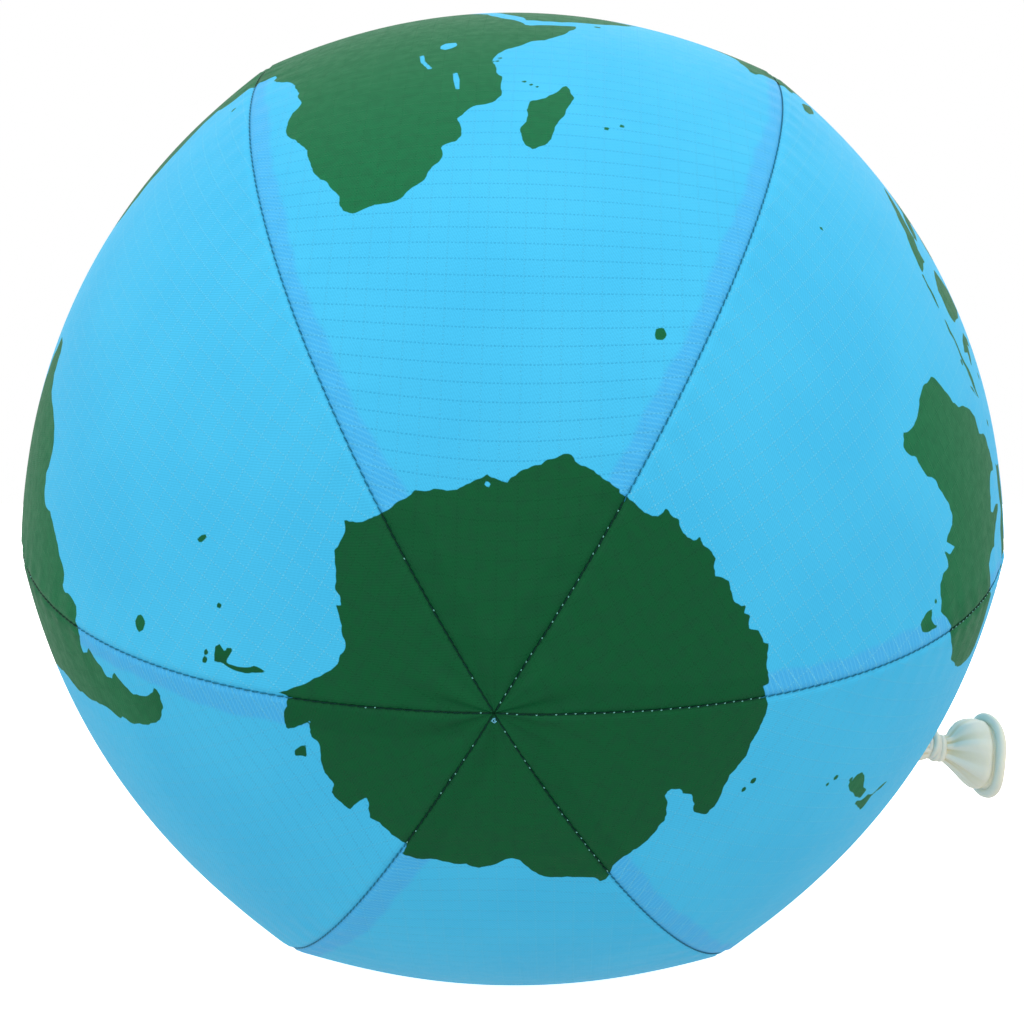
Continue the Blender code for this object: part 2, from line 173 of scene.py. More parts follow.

# The print's outlines. Those on the side that the photo shows were read off it, and the rest
# were drawn from what a world map shows.
# Antarctica, in the ball's degrees from the pole: towards its 90 E, and towards its 0 E.
ANTARCTICA = [
    (0.5, 19.9), (1.2, 18.9), (2.3, 18.1), (3.1, 17.6), (4.7, 17.8), (6.1, 17.9), (6.8, 18.1),
    (8.2, 17.4), (9.3, 16.5), (10.3, 16.2), (11.7, 16.0), (12.7, 15.9), (13.0, 15.0), (13.5, 14.0),
    (13.8, 14.3), (15.2, 14.3), (16.4, 14.0), (16.9, 13.6), (17.7, 13.7), (18.2, 13.4), (19.2, 13.2),
    (19.6, 12.6), (19.3, 11.2), (19.5, 9.6), (19.5, 8.2), (19.4, 7.1), (19.0, 6.8), (19.2, 5.8),
    (19.6, 4.9), (20.3, 3.8), (21.0, 3.3), (21.9, 3.3), (22.4, 3.6), (22.3, 2.8), (22.8, 1.9),
    (22.4, 1.2), (22.4, 0.2), (22.9, -0.6), (23.7, -0.6), (23.4, -1.4), (23.7, -2.3), (23.6, -3.3),
    (22.9, -3.6), (22.3, -4.4), (22.9, -5.1), (23.2, -5.8), (22.7, -6.4), (22.1, -7.6), (22.4, -8.4),
    (22.9, -8.8), (22.1, -9.1), (22.4, -9.8), (21.3, -10.5), (22.0, -11.4), (21.4, -12.6),
    (21.9, -13.1), (20.6, -13.8), (19.4, -14.7), (18.5, -15.3), (17.8, -14.9), (17.3, -15.7),
    (16.6, -17.7), (15.9, -18.3), (15.0, -19.0), (14.0, -19.5), (13.1, -20.5), (11.9, -20.7),
    (10.7, -20.9), (9.6, -21.6), (8.9, -22.3), (7.6, -23.0), (6.5, -23.0), (6.1, -22.0), (5.8, -21.1),
    (6.4, -20.3), (6.8, -18.9), (6.3, -18.0), (6.5, -17.4), (5.9, -16.5), (5.1, -16.6), (4.8, -17.5),
    (4.0, -18.5), (3.3, -19.0), (1.9, -19.2), (0.0, -19.1), (-1.2, -18.7), (-2.8, -18.2),
    (-3.7, -18.9), (-4.8, -19.2), (-4.8, -18.3), (-6.2, -17.3), (-7.7, -16.3), (-8.3, -15.3),
    (-8.3, -14.0), (-8.2, -12.9), (-8.6, -12.1), (-10.7, -11.8), (-11.7, -11.4), (-12.1, -10.2),
    (-13.3, -8.6), (-14.5, -6.8), (-14.8, -5.6), (-13.6, -5.0), (-14.3, -3.7), (-14.6, -2.3),
    (-15.2, -1.5), (-14.6, -0.7), (-13.9, 0.2), (-15.2, 0.2), (-16.6, 0.0), (-16.9, 1.2),
    (-16.9, 2.2), (-16.0, 2.7), (-15.9, 4.0), (-15.4, 4.8), (-14.5, 5.7), (-13.8, 6.6), (-14.0, 7.1),
    (-13.3, 7.8), (-12.4, 8.1), (-13.6, 8.3), (-14.5, 8.5), (-15.7, 8.9), (-15.0, 9.5), (-14.2, 10.0),
    (-12.7, 10.5), (-13.3, 11.4), (-11.7, 11.0), (-9.8, 10.7), (-7.7, 10.5), (-6.8, 11.1),
    (-6.0, 11.4), (-5.6, 12.6), (-5.0, 13.8), (-4.6, 15.0), (-4.2, 14.6), (-3.8, 15.2), (-3.8, 16.1),
    (-3.0, 17.0), (-2.3, 18.0), (-1.8, 18.7), (0.0, 19.1),
]
POLAR_PENINSULA = [
    (-17.9, 19.4), (-17.3, 19.4), (-17.05, 18.2), (-16.7, 18.5), (-16.2, 18.2), (-16.1, 17.8),
    (-16.9, 17.5), (-17.3, 17.2),
    (-16.6, 16.4), (-15.4, 15.4), (-14.3, 14.9), (-13.4, 13.6), (-14.5, 14.2), (-15.9, 15.2),
    (-17.1, 16.4), (-17.8, 17.5), (-18.6, 18.1), (-18.3, 18.8),
]
POLAR_ISLAND = [
    (-17.3, 6.7), (-16.8, 7.1), (-15.8, 7.1), (-15.2, 6.9), (-15.8, 6.4), (-16.2, 6.0), (-16.6, 6.4),
]

# Longitude and latitude on the print, for everything else.
AFRICA = [
    (5, 10), (5.7, 8.8), (8.6, 7.4), (10.5, 7.5), (13.3, 7.4), (13.5, 6.3), (13.2, 5), (13.7, 3.7),
    (15, 2), (15.8, 0.2), (16.2, -2.1), (16.7, -4.1), (16.5, -5), (17, -7.5), (16.7, -8.4),
    (15.9, -9.6), (15.4, -11.4), (15.1, -13.2), (15.1, -14.9), (16, -16.6), (16.6, -18.2),
    (17.3, -19.8), (17.3, -21.6), (17.6, -24.4), (17.9, -26), (19.1, -28.2), (19.5, -29.8),
    (20.3, -31.6), (20.1, -33), (20.5, -34.4), (21.8, -35.2), (23.4, -34.7), (24.5, -34.4),
    (26.6, -34.5), (28.2, -33.8), (30, -32.1), (31.1, -31), (31.8, -29.4), (32.8, -28.2),
    (33.3, -26.4), (33.1, -25), (35, -24.1), (35.5, -23), (35.5, -21), (35, -19.1), (36.1, -17.5),
    (37.3, -16.4), (39.1, -15.8), (40, -14.4), (39.9, -12.1), (40, -9.6), (39.3, -8.5), (39.1, -6.2),
    (38.7, -5.2), (38.9, -4.1), (40, -1.6), (41.1, -0.5), (42.5, 1.3), (44.5, 2.7), (45.9, 5),
    (47, 7.9), (47.8, 10), (47.7, 11.1), (45.9, 10.6), (42.7, 9.6), (42, 10), (41.8, 10.9),
    (40.5, 13.3), (38, 17), (36.5, 21), (33.5, 27), (32, 30.5), (26, 31.5), (20, 31), (15, 32.5),
    (10.5, 34), (10.5, 37), (4, 36.8), (-1, 35.5), (-6, 35.5), (-9, 31), (-14, 27), (-16.5, 21),
    (-16.8, 15), (-13, 9), (-8, 6.5), (-3, 7), (1, 8.2),
]
MADAGASCAR = [
    (47.3, -11.1), (47.7, -11.9), (48.3, -13.9), (48, -15.3), (47.5, -17.1), (46.8, -19.4),
    (46.3, -22.1), (45.7, -24.6), (44.1, -26), (43.1, -25), (42.6, -23), (42.4, -21.4),
    (43.1, -19.8), (43, -17.5), (43.3, -15.5), (45, -14.6), (46.1, -13.2), (46.8, -11.6),
]
AUSTRALIA = [
    (103.1, -19.3), (105.3, -17.7), (108.1, -16.4), (109.4, -14.9), (110, -13), (111.4, -10.8),
    (112.8, -9.6), (114.9, -10), (115.6, -7.7), (116.6, -6.8), (118.4, -6.3), (120, -6.1),
    (120.8, -6.6), (120.3, -8.6), (120.9, -10.2), (122.5, -11.4), (123.8, -12.7), (124.4, -11.4),
    (124.5, -8), (125, -6.8), (125.6, -8.9), (126.9, -11.8), (128.1, -13), (128.1, -14.9),
    (129.1, -16.8), (131.5, -16.6), (134, -15.5), (137, -15.2), (140, -16.2), (140.9, -18),
    (140.8, -20.5), (140.3, -24.9), (138.8, -28), (137.5, -30.5), (135, -32.4), (132.5, -33.9),
    (130, -35.5), (129.1, -36.4), (127.5, -35.8), (125.6, -35.5), (124.5, -34.3), (124.1, -32.4),
    (122.8, -32.5), (121.9, -32.9), (122.9, -31.4), (122.5, -29.6), (121.9, -30.5), (121.1, -31.6),
    (120.3, -30.5), (119.7, -28.9), (118.4, -28.1), (116.9, -28.3), (115, -29.3), (113.1, -29.9),
    (111.6, -31.8), (110, -32.3), (108.4, -32.5), (107.2, -33.9), (105.9, -34.3), (104.5, -33),
    (105, -31.8), (104.9, -29.3), (104.1, -26.8), (103.1, -24.3), (102.8, -23), (103.1, -21.1),
]
TASMANIA = [
    (127.9, -38.5), (129.1, -39.1), (130.2, -38.7), (130.7, -37.7), (130.8, -39.9), (130, -41.6),
    (129.1, -41.6), (128.3, -40.5),
]
NORTH_ISLAND = [
    (155.9, -32.5), (157.2, -33.9), (158.1, -35.5), (159.7, -35.6), (160.5, -36.1), (159.7, -38),
    (158.8, -40), (158.3, -39.8), (158.4, -38.3), (157.5, -37.4), (157.7, -35.8), (156.6, -34.4),
]
SOUTH_ISLAND = [
    (157.8, -39.3), (156.6, -38.9), (155.9, -40.2), (155, -41.1), (153.4, -42.1), (152.5, -43.3),
    (152.8, -44.1), (154.7, -44.8), (155.6, -43.9), (156.6, -42.1), (157.5, -40.5),
]
JAVA = [
    (96, -3.1), (98.8, -4), (103.1, -5), (107.5, -4.8), (112.8, -3.7), (110.5, -5.2), (107.5, -5.6),
    (103.1, -5.9), (98.8, -5), (96, -4),
]
TIMOR = [(109.6, -7.2), (110.4, -5.8), (112, -4.8), (110.9, -6)]
SUMATRA = [
    (88.6, 12), (90.5, 9.3), (92, 6.8), (94, 4.8), (94.8, 2.3), (96.3, 1.5), (96, -0.2), (96, -3),
    (95, -2.5), (93, 0), (91.5, 2.8), (90, 6), (88.8, 9.5),
]
BORNEO = [
    (98.5, 4.8), (100, 6.3), (102.5, 9), (105.3, 9), (105, 4.5), (104, 0), (103, -1.2),
    (99.5, -0.5), (98.8, 2),
]
SULAWESI = [
    (106.3, 3), (107.8, 4.8), (108.8, 3.8), (107.7, 2.4), (109, 0.4), (109.5, -1.5), (107.8, -0.2),
    (107, -2.5), (106.3, -0.5),
]
NEW_GUINEA = [
    (121, -3.3), (122.5, 0.8), (126, 0.2), (130, -1), (134, -3.5), (138, -6.5), (135, -7.6),
    (131, -7), (128, -6.8), (126.5, -4.2), (124, -4.4),
]
PHILIPPINES = [(107, 16), (109, 18), (110, 15), (113, 11), (113, 8), (110, 8.5), (109, 12)]
SRI_LANKA = [
    (75, 11.3), (75.5, 13.5), (76.8, 16), (77, 13.5), (76.8, 11.3), (76, 9), (75.3, 8.8),
]
JAPAN = [
    (118, 32), (121, 34), (126, 35.5), (127.5, 40), (131, 43), (128, 45), (126, 41), (123, 37),
    (118.5, 34.5),
]
BRITAIN = [(-4, 50), (1, 51), (1.5, 53), (-2, 56), (-4.5, 58.6), (-5, 55), (-3, 54), (-4.5, 52)]
IRELAND = [(-9, 52), (-6, 52.5), (-6, 55), (-9, 54.5)]
ICELAND = [(-21, 64), (-15, 64.5), (-14, 66), (-20, 66.3), (-23, 65.5)]
SVALBARD = [(14, 77), (20, 78), (25, 80), (14, 79.6)]
NOVAYA_ZEMLYA = [(50, 71), (55, 71), (65, 76), (60, 76), (53, 73.5)]
SEVERNAYA_ZEMLYA = [(92, 79), (98, 78.5), (97, 81), (91, 80.5)]
EURASIA = [
    (42, 13), (44, 12.7), (48, 14), (52, 16.5), (54, 19), (55, 21.5), (51.5, 24), (50, 26), (47, 30),
    (50, 29), (54, 26.3), (58, 25.2), (62, 25), (64, 23.5), (66.3, 20.5), (67.3, 16.5), (68.2, 12.5),
    (69, 12.3), (70, 14.5), (72.5, 14.8), (73.8, 14), (74.5, 16.5), (75, 19), (79, 21), (83, 22.3),
    (85.5, 20), (87, 16.5), (90, 16.3), (91.3, 13), (92.3, 10.8), (92.5, 7.5), (94, 5), (94.8, 5.3),
    (94.6, 8), (93.8, 11.5), (95, 13.4), (97.3, 10.5), (99.3, 11.3), (99.3, 14.5), (97.5, 18),
    (99, 20.5), (103, 21.8), (107, 23.5), (110, 28), (111, 33), (108, 37), (112, 38.7), (112.5, 36),
    (115, 34.5), (117, 37), (116, 40), (120, 43), (127, 48), (129, 54), (123, 54.5), (130, 59),
    (143, 60.5), (143, 52), (149, 57), (153, 61.5), (163, 64.5), (171, 66.3), (164, 69), (152, 70),
    (140, 72), (122, 73.5), (105, 77), (90, 76), (76, 73), (70, 67.5), (60, 69), (48, 67.5),
    (41, 65), (38, 67), (32, 69.8), (24, 71), (14, 67.5), (7, 62), (7, 58.5), (11.5, 59), (13.5, 55.7),
    (17, 57), (18, 61), (22.5, 65.7), (24.5, 65), (22, 61), (29, 60), (22, 57.5), (20, 54.6),
    (11, 54.2), (10, 57.5), (8, 55), (3, 51.3), (-3, 48.6), (0, 46), (-1, 43.5), (-8.5, 43.3),
    (-8.5, 37), (-4.5, 36.5), (0, 39), (4, 43), (9.5, 44), (13, 41), (16.5, 38), (18.3, 40.2),
    (14, 45.3), (20, 40), (22.5, 37), (25, 40.5), (30, 41.2), (40, 42), (37, 45.5), (31, 45.7),
    (28, 41.3), (27.5, 37), (33, 36.2), (36.3, 36.5), (35, 32), (34, 29), (36, 26), (39, 20.5),
    (41.5, 15.5),
]
CASPIAN = [(48, 42), (52, 46.5), (54, 45), (52.5, 40), (54, 37), (50, 37.5)]
BAIKAL = [(97, 51.7), (103, 55.5), (101, 53)]
ARAL = [(58, 44), (60.5, 46), (60, 44)]
SOUTH_AMERICA = [
    (-25.3, -1), (-25, -3.8), (-25.6, -5.6), (-28.1, -6.9), (-29.4, -9.4), (-29.9, -12.5),
    (-30.8, -16.3), (-32.5, -18.8), (-36.3, -19.1), (-38.4, -20.3), (-39.5, -21.9), (-39.4, -24.7),
    (-40.3, -26.9), (-41.6, -29.4), (-43.4, -32.2), (-44.7, -34.1), (-46.3, -34.1), (-47, -35.3),
    (-46.7, -36.6), (-47.6, -39.1), (-50, -39.4), (-51.6, -40.3), (-53.4, -39.7), (-54.5, -39.5),
    (-53.8, -40.9), (-52.8, -41.6), (-54.1, -42.5), (-55.1, -43.8), (-56.4, -44.1), (-56.3, -45.3),
    (-54.9, -46.3), (-56.3, -47.4), (-57.8, -48.8), (-57.6, -50.3), (-56.9, -52.2), (-55.9, -53.4),
    (-54.7, -54.1), (-56.3, -54.5), (-58.8, -54.1), (-60.9, -52.8), (-62.5, -50.6), (-63.4, -48.1),
    (-63.8, -45.3), (-63.1, -43.8), (-63.6, -43.1), (-62.8, -41.3), (-62.5, -40), (-62.6, -36.3),
    (-62.3, -32.5), (-62.5, -30), (-61.6, -26.9), (-61.4, -23.8), (-62, -20), (-62.8, -16.3),
    (-66, -12.5), (-70, -6), (-71.5, -2), (-70, 1.5), (-68.5, 6), (-67.5, 9), (-64, 11.3),
    (-58, 11.5), (-52, 9.5), (-47, 6.5), (-43, 4.5), (-40, 2.2), (-35, 1.5), (-29, 0.7),
]
NORTH_AMERICA = [
    (-68.5, 8.8), (-71, 10.5), (-73.5, 12), (-73.5, 15.5), (-78, 16.2), (-79, 21), (-84, 21.3),
    (-86, 18.8), (-90, 18.8), (-94, 22), (-94.5, 27.5), (-91, 29.5), (-86, 29), (-81.5, 30.2),
    (-77, 29), (-74, 25.5), (-72, 26.5), (-73.5, 31), (-68.5, 35), (-66, 40), (-62, 41.7),
    (-57, 44.5), (-53, 46.5), (-57, 49.5), (-48, 52.5), (-51, 57), (-55, 60.3), (-61, 58.7),
    (-67, 60), (-70, 62), (-69.5, 56), (-71, 52), (-75, 52.5), (-83, 56.5), (-86, 60), (-85, 65),
    (-78, 68), (-88, 68.3), (-105, 68.7), (-120, 70), (-140, 70.2), (-157, 71), (-168, 69),
    (-173, 66), (-168, 63.5), (-171, 60.5), (-162, 58.7), (-170, 55), (-158, 57.8), (-149, 60.5),
    (-138, 58.7), (-131, 54), (-125, 49), (-124, 42), (-122, 37.5), (-118.5, 34), (-115, 30),
    (-109, 23.2), (-108, 25), (-111.5, 31), (-108, 29), (-104, 22), (-98, 17.2), (-90, 15.7),
    (-83, 13.3), (-77, 9.2), (-71.5, 7.6),
]
GREENLAND = [
    (-35, 60.5), (-31, 65.5), (-16, 70.5), (-12, 77), (-20, 81.5), (-38, 83.3), (-58, 80.5),
    (-66, 77), (-52, 74), (-46, 68), (-43, 62.5),
]
BAFFIN = [(-60, 63), (-54, 66.5), (-66, 72.5), (-78, 73.5), (-74, 69), (-66, 65.5)]
ELLESMERE = [(-64, 79.5), (-55, 82.8), (-82, 82.3), (-82, 78), (-74, 76.5)]
VICTORIA = [(-98, 69.5), (-97, 73), (-108, 73.2), (-113, 71), (-108, 69)]
CUBA = [(-77, 22.3), (-68, 20.4), (-72, 22.3), (-76, 23.3)]
HISPANIOLA = [(-66, 18.5), (-60, 18.7), (-62, 20), (-65, 20)]
NEWFOUNDLAND = [(-52, 47.5), (-46, 47), (-48, 50.5), (-50.5, 50.5)]
POLAR_LAKE = [(12.0, 14.8), (12.4, 15.0), (12.2, 15.4), (11.8, 15.2)]
FALKLANDS = [
    (-46, -51.9), (-45.4, -51.3), (-44.5, -50.9), (-43.4, -51.1), (-42.9, -51.7), (-43.9, -52.6),
    (-45.3, -52.5),
]
SOUTH_GEORGIA = [
    (-25.8, -56.1), (-25.4, -55.8), (-24.2, -56.2), (-23.7, -56.6), (-23.9, -57), (-25.4, -56.6),
]
KERGUELEN = [
    (64.6, -49.9), (65.6, -49.6), (66.4, -50.3), (66.3, -51.1), (65.1, -51.3), (64.7, -50.7),
]
LAKE_VICTORIA = [
    (32.8, 1.3), (33.4, 2.1), (34.5, 2), (34.7, 0.9), (34.2, 0.1), (33.4, -0.4), (32.8, 0.2),
]
LAKE_TANGANYIKA = [(30.5, -1.5), (31, -1.5), (31.2, -3.7), (32.1, -6.2), (31.6, -6.3), (30.7, -3.8)]
LAKE_MALAWI = [(34.4, -8), (34.9, -8), (35.2, -10), (35.2, -12.4), (34.8, -12.4), (34.5, -10)]
DOTS = (  # small islands: longitude, latitude and radius
    (52.4, -19.6, 0.36), (54.1, -18.5, 0.34), (42.5, -10.8, 0.32), (43.3, -11.5, 0.28),
    (44, -12, 0.28), (39.6, -4.2, 0.3), (39.3, -5.1, 0.3), (8.2, 1.9, 0.38), (50.2, 12.5, 0.45),
    (127.3, -37.4, 0.36), (153.6, -44.9, 0.36), (152.8, -48.4, 0.4), (154.1, -49.3, 0.3),
    (-34.2, -62.3, 0.34), (-46.1, -62.7, 0.38), (-44.5, -62.6, 0.34), (106.9, -6.4, 0.45),
    (116.2, -2.4, 0.5), (111.8, 2.4, 0.5), (156.0, -63.2, 0.34), (153.6, -62.6, 0.4),
    (80.2, -20.2, 0.34), (-146, 20, 0.4), (-149, 21.5, 0.3), (168, -17, 0.4), (151, -9, 0.4),
)


# The shape of the ball, for single points and for whole arrays.


def ridge(latitude, off_middle):
    """How far the gore's cross-section stands out beyond a circle, as a factor."""
    hexagonal = SEAM_RIDGE + POLAR_RIDGE * np.sin(np.radians(latitude)) ** 2
    return 1 + hexagonal * (1 / np.cos(np.radians(off_middle)) - 1)


def seam_longitude(number):
    return SEAM_LONGITUDES[number % 6] + 360 * (number // 6)


def gore_angle(gore):
    return seam_longitude(gore + 1) - seam_longitude(gore)


def gore_width(gore, latitude):
    return RADIUS * np.cos(np.radians(latitude)) * math.radians(gore_angle(gore))


def longitude_at(gore, fraction):
    return seam_longitude(gore) + fraction * gore_angle(gore)


def seam_distance(gore, fraction, latitude):
    """Metres across a gore to the nearer of its two seams."""
    return np.minimum(fraction, 1 - fraction) * gore_width(gore, latitude)


def on_ball(gore, fraction, latitude, lift=0.0):
    """Points on the cloth, in the ball's axes, lifted off its resting surface."""
    fraction, latitude = np.broadcast_arrays(np.asarray(fraction, float), np.asarray(latitude, float))
    longitude = np.radians(longitude_at(gore, fraction))
    lat = np.radians(latitude)
    off_middle = (abs((fraction + 0.5) % 1.0 - 0.5) * 2 - 1) * HALF_GORE
    reach = RADIUS * np.cos(lat) * ridge(latitude, off_middle)
    height = RADIUS * POLAR_STRETCH * np.sin(lat)
    place = np.stack((reach * np.cos(longitude), reach * np.sin(longitude), height), axis=-1)
    outward = place / np.array((1.0, 1.0, POLAR_STRETCH**2))
    outward /= np.linalg.norm(outward, axis=-1, keepdims=True)
    return place + outward * np.asarray(lift)[..., None]


def ball_frame():
    """The ball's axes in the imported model's frame, about the centre that the record names."""
    mounts = {mount["name"]: mount for mount in frame["record"]["mounts"]}
    centre = Vector(mounts["hand_hold"]["pos_m"])
    turn = Matrix.Rotation(math.radians(HEADING), 4, "Z")
    turn = turn @ Matrix.Rotation(math.radians(SOUTH_POLE_DIP - 90), 4, "X")
    return Matrix.Translation(centre) @ turn


BALL = ball_frame()
CENTRE = BALL.translation


def to_frame(points):
    """Points in the ball's axes, as an array, taken to the model's frame and kept above the floor."""
    turn = np.array(BALL.to_3x3())
    placed = np.asarray(points) @ turn.T + np.array(CENTRE)
    placed[..., 2] = (placed[..., 2] + np.hypot(placed[..., 2], 2 * FLOOR_ROUNDING)) / 2
    return placed


def meridian_table():
    latitudes = np.linspace(-90, 90, 721)
    line = on_ball(0, 0.5, latitudes)
    steps = np.linalg.norm(np.diff(line, axis=0), axis=1)
    return latitudes, np.concatenate(((0.0,), np.cumsum(steps)))


MERIDIAN = meridian_table()


def along_meridian(latitude):
    """Metres of cloth from the south pole to a latitude, along the middle of a gore."""
    return np.interp(latitude, *MERIDIAN)


def on_flat_cloth(gore, fraction, latitude):
    """Metres across and along a gore's cloth as it lay flat, where its weave runs straight."""
    off_middle = np.radians((fraction - 0.5) * gore_angle(gore))
    lat = np.radians(latitude)
    across = RADIUS * np.arcsin(np.cos(lat) * np.sin(off_middle))
    return across, along_meridian(np.degrees(np.arctan(np.tan(lat) / np.cos(off_middle))))


def smooth_step(value):
    value = np.clip(value, 0, 1)
    return value * value * (3 - 2 * value)


# The printed map.


def plan(longitude, latitude):
    """The south-polar plan of points on the ball: degrees from the pole, in two directions."""
    away = 90 + np.asarray(latitude, float)
    turn = np.radians(longitude)
    return np.stack((away * np.sin(turn), away * np.cos(turn)), axis=-1)


def printed_plan(corners):
    """A printed outline of (longitude, latitude) on the ball's south-polar plan."""
    corners = np.array(corners, float)
    latitude = np.interp(corners[:, 1], PRINT_LATITUDES, BALL_LATITUDES)
    return plan(corners[:, 0] - PRINT_TURN, latitude)


def from_pole(corners):
    """Polar offsets as (longitude, latitude)."""
    return [(math.degrees(math.atan2(x, y)), math.hypot(x, y) - 90) for x, y in corners]


def dot_outline(longitude, latitude, radius):
    """A small island's rounded outline."""
    turns = [2 * math.pi * n / DOT_CORNERS + longitude for n in range(DOT_CORNERS)]
    wide = radius / math.cos(math.radians(latitude))
    return [(longitude + wide * math.cos(t), latitude + radius * math.sin(t)) for t in turns]


def ragged(corners, rng):
    """Breaks each edge of an outline in the middle, and pushes the middle sideways."""
    for _ in range(COAST_LEVELS):
        following = np.roll(corners, -1, axis=0)
        edge = following - corners
        push = np.array([rng.uniform(-1, 1) * COAST_ROUGHNESS for _ in corners])
        sideways = np.stack((-edge[:, 1], edge[:, 0]), axis=-1) * push[:, None]
        middles = (corners + following) / 2 + sideways
        corners = np.stack((corners, middles), axis=1).reshape(-1, 2)
    return corners


def sampled(corners):
    """Points along an outline, close together."""
    runs = []
    for start, end in zip(corners, np.roll(corners, -1, axis=0)):
        count = max(1, math.ceil(np.linalg.norm(end - start) / COAST_SAMPLE))
        runs.append(start + (end - start) * (np.arange(count) / count)[:, None])
    return np.concatenate(runs)


def plan_to_sphere(points):
    away = np.radians(np.linalg.norm(points, axis=-1))
    turn = np.arctan2(points[:, 0], points[:, 1])
    flat = np.sin(away)
    return np.stack((flat * np.cos(turn), flat * np.sin(turn), -np.cos(away)), axis=-1)


def make_coasts():
    """Every outline on the plan with its samples on the unit sphere: land first, then the lakes."""
    rng = random.Random(COAST_SEED)
    polar = [from_pole(outline) for outline in (ANTARCTICA, POLAR_PENINSULA, POLAR_ISLAND)]
    land = polar + [
        AFRICA, MADAGASCAR, AUSTRALIA, TASMANIA, NORTH_ISLAND, SOUTH_ISLAND, JAVA, TIMOR, SUMATRA,
        BORNEO, SULAWESI, NEW_GUINEA, PHILIPPINES, SRI_LANKA, JAPAN, BRITAIN, IRELAND, ICELAND,
        SVALBARD, NOVAYA_ZEMLYA, SEVERNAYA_ZEMLYA, EURASIA, SOUTH_AMERICA, NORTH_AMERICA, GREENLAND,
        BAFFIN, ELLESMERE, VICTORIA, CUBA, HISPANIOLA, NEWFOUNDLAND, FALKLANDS, SOUTH_GEORGIA,
        KERGUELEN,
    ]
    land += [dot_outline(*dot) for dot in DOTS]
    lakes = [
        CASPIAN, BAIKAL, ARAL, LAKE_VICTORIA, LAKE_TANGANYIKA, LAKE_MALAWI, from_pole(POLAR_LAKE),
    ]
    coasts = []
    for outlines, sign in ((land, 1.0), (lakes, -1.0)):
        for outline in outlines:
            corners = printed_plan(outline)
            if len(outline) > DOT_CORNERS:
                corners = ragged(corners, rng)
            coasts.append((corners, plan_to_sphere(sampled(corners)), sign))
    return coasts


COASTS = make_coasts()


def inside(points, corners):
    """Which points of the plan lie inside an outline, by counting crossings."""
    result = np.zeros(len(points), bool)
    low, high = corners.min(0), corners.max(0)
    near = np.nonzero(((points > low) & (points < high)).all(1))[0]
    if len(near) == 0:
        return result
    x, y = points[near, 0], points[near, 1]
    odd = np.zeros(len(near), bool)
    for (ax, ay), (bx, by) in zip(corners, np.roll(corners, -1, axis=0)):
        if ay == by:
            continue
        between = (ay > y) != (by > y)
        odd ^= between & (x < (bx - ax) * (y - ay) / (by - ay) + ax)
    result[near] = odd
    return result


def coast_samples():
    points, before, after = [], [], []
    for _, samples, _ in COASTS:
        points.append(samples)
        before.append(np.roll(samples, 1, axis=0))
        after.append(np.roll(samples, -1, axis=0))
    return np.concatenate(points), np.concatenate(before), np.concatenate(after)


COAST_POINTS, COAST_BEFORE, COAST_AFTER = coast_samples()


def coast_tree():
    tree = KDTree(len(COAST_POINTS))
    for index, point in enumerate(COAST_POINTS):
        tree.insert(point, index)
    tree.balance()
    return tree


COAST_TREE = coast_tree()


def to_coast(place, nearest):
    """Metres from a point of the unit sphere to the two coast edges at a sample."""
    start = COAST_POINTS[nearest]
    best = 1.0
    for end in (COAST_BEFORE[nearest], COAST_AFTER[nearest]):
        edge = end - start
        share = min(1.0, max(0.0, float((place - start) @ edge) / max(float(edge @ edge), 1e-12)))
        away = place - start - share * edge
        best = min(best, math.sqrt(float(away @ away)))
    return best * RADIUS


def shore_distance(longitude, latitude):
    """Metres to the nearest printed coast, positive on land, for flat arrays."""
    points = plan(longitude, latitude)
    sphere = plan_to_sphere(points)
    land = np.zeros(len(points), bool)
    for corners, _, sign in COASTS:
        within = inside(points, corners)
        land = land | within if sign > 0 else land & ~within
    distance = np.full(len(points), SHORE_REACH)
    for index, place in enumerate(sphere):
        _, nearest, away = COAST_TREE.find(place)
        if away * RADIUS < SHORE_REACH:
            distance[index] = to_coast(place, nearest)
    return np.where(land, distance, -distance)


# Materials.


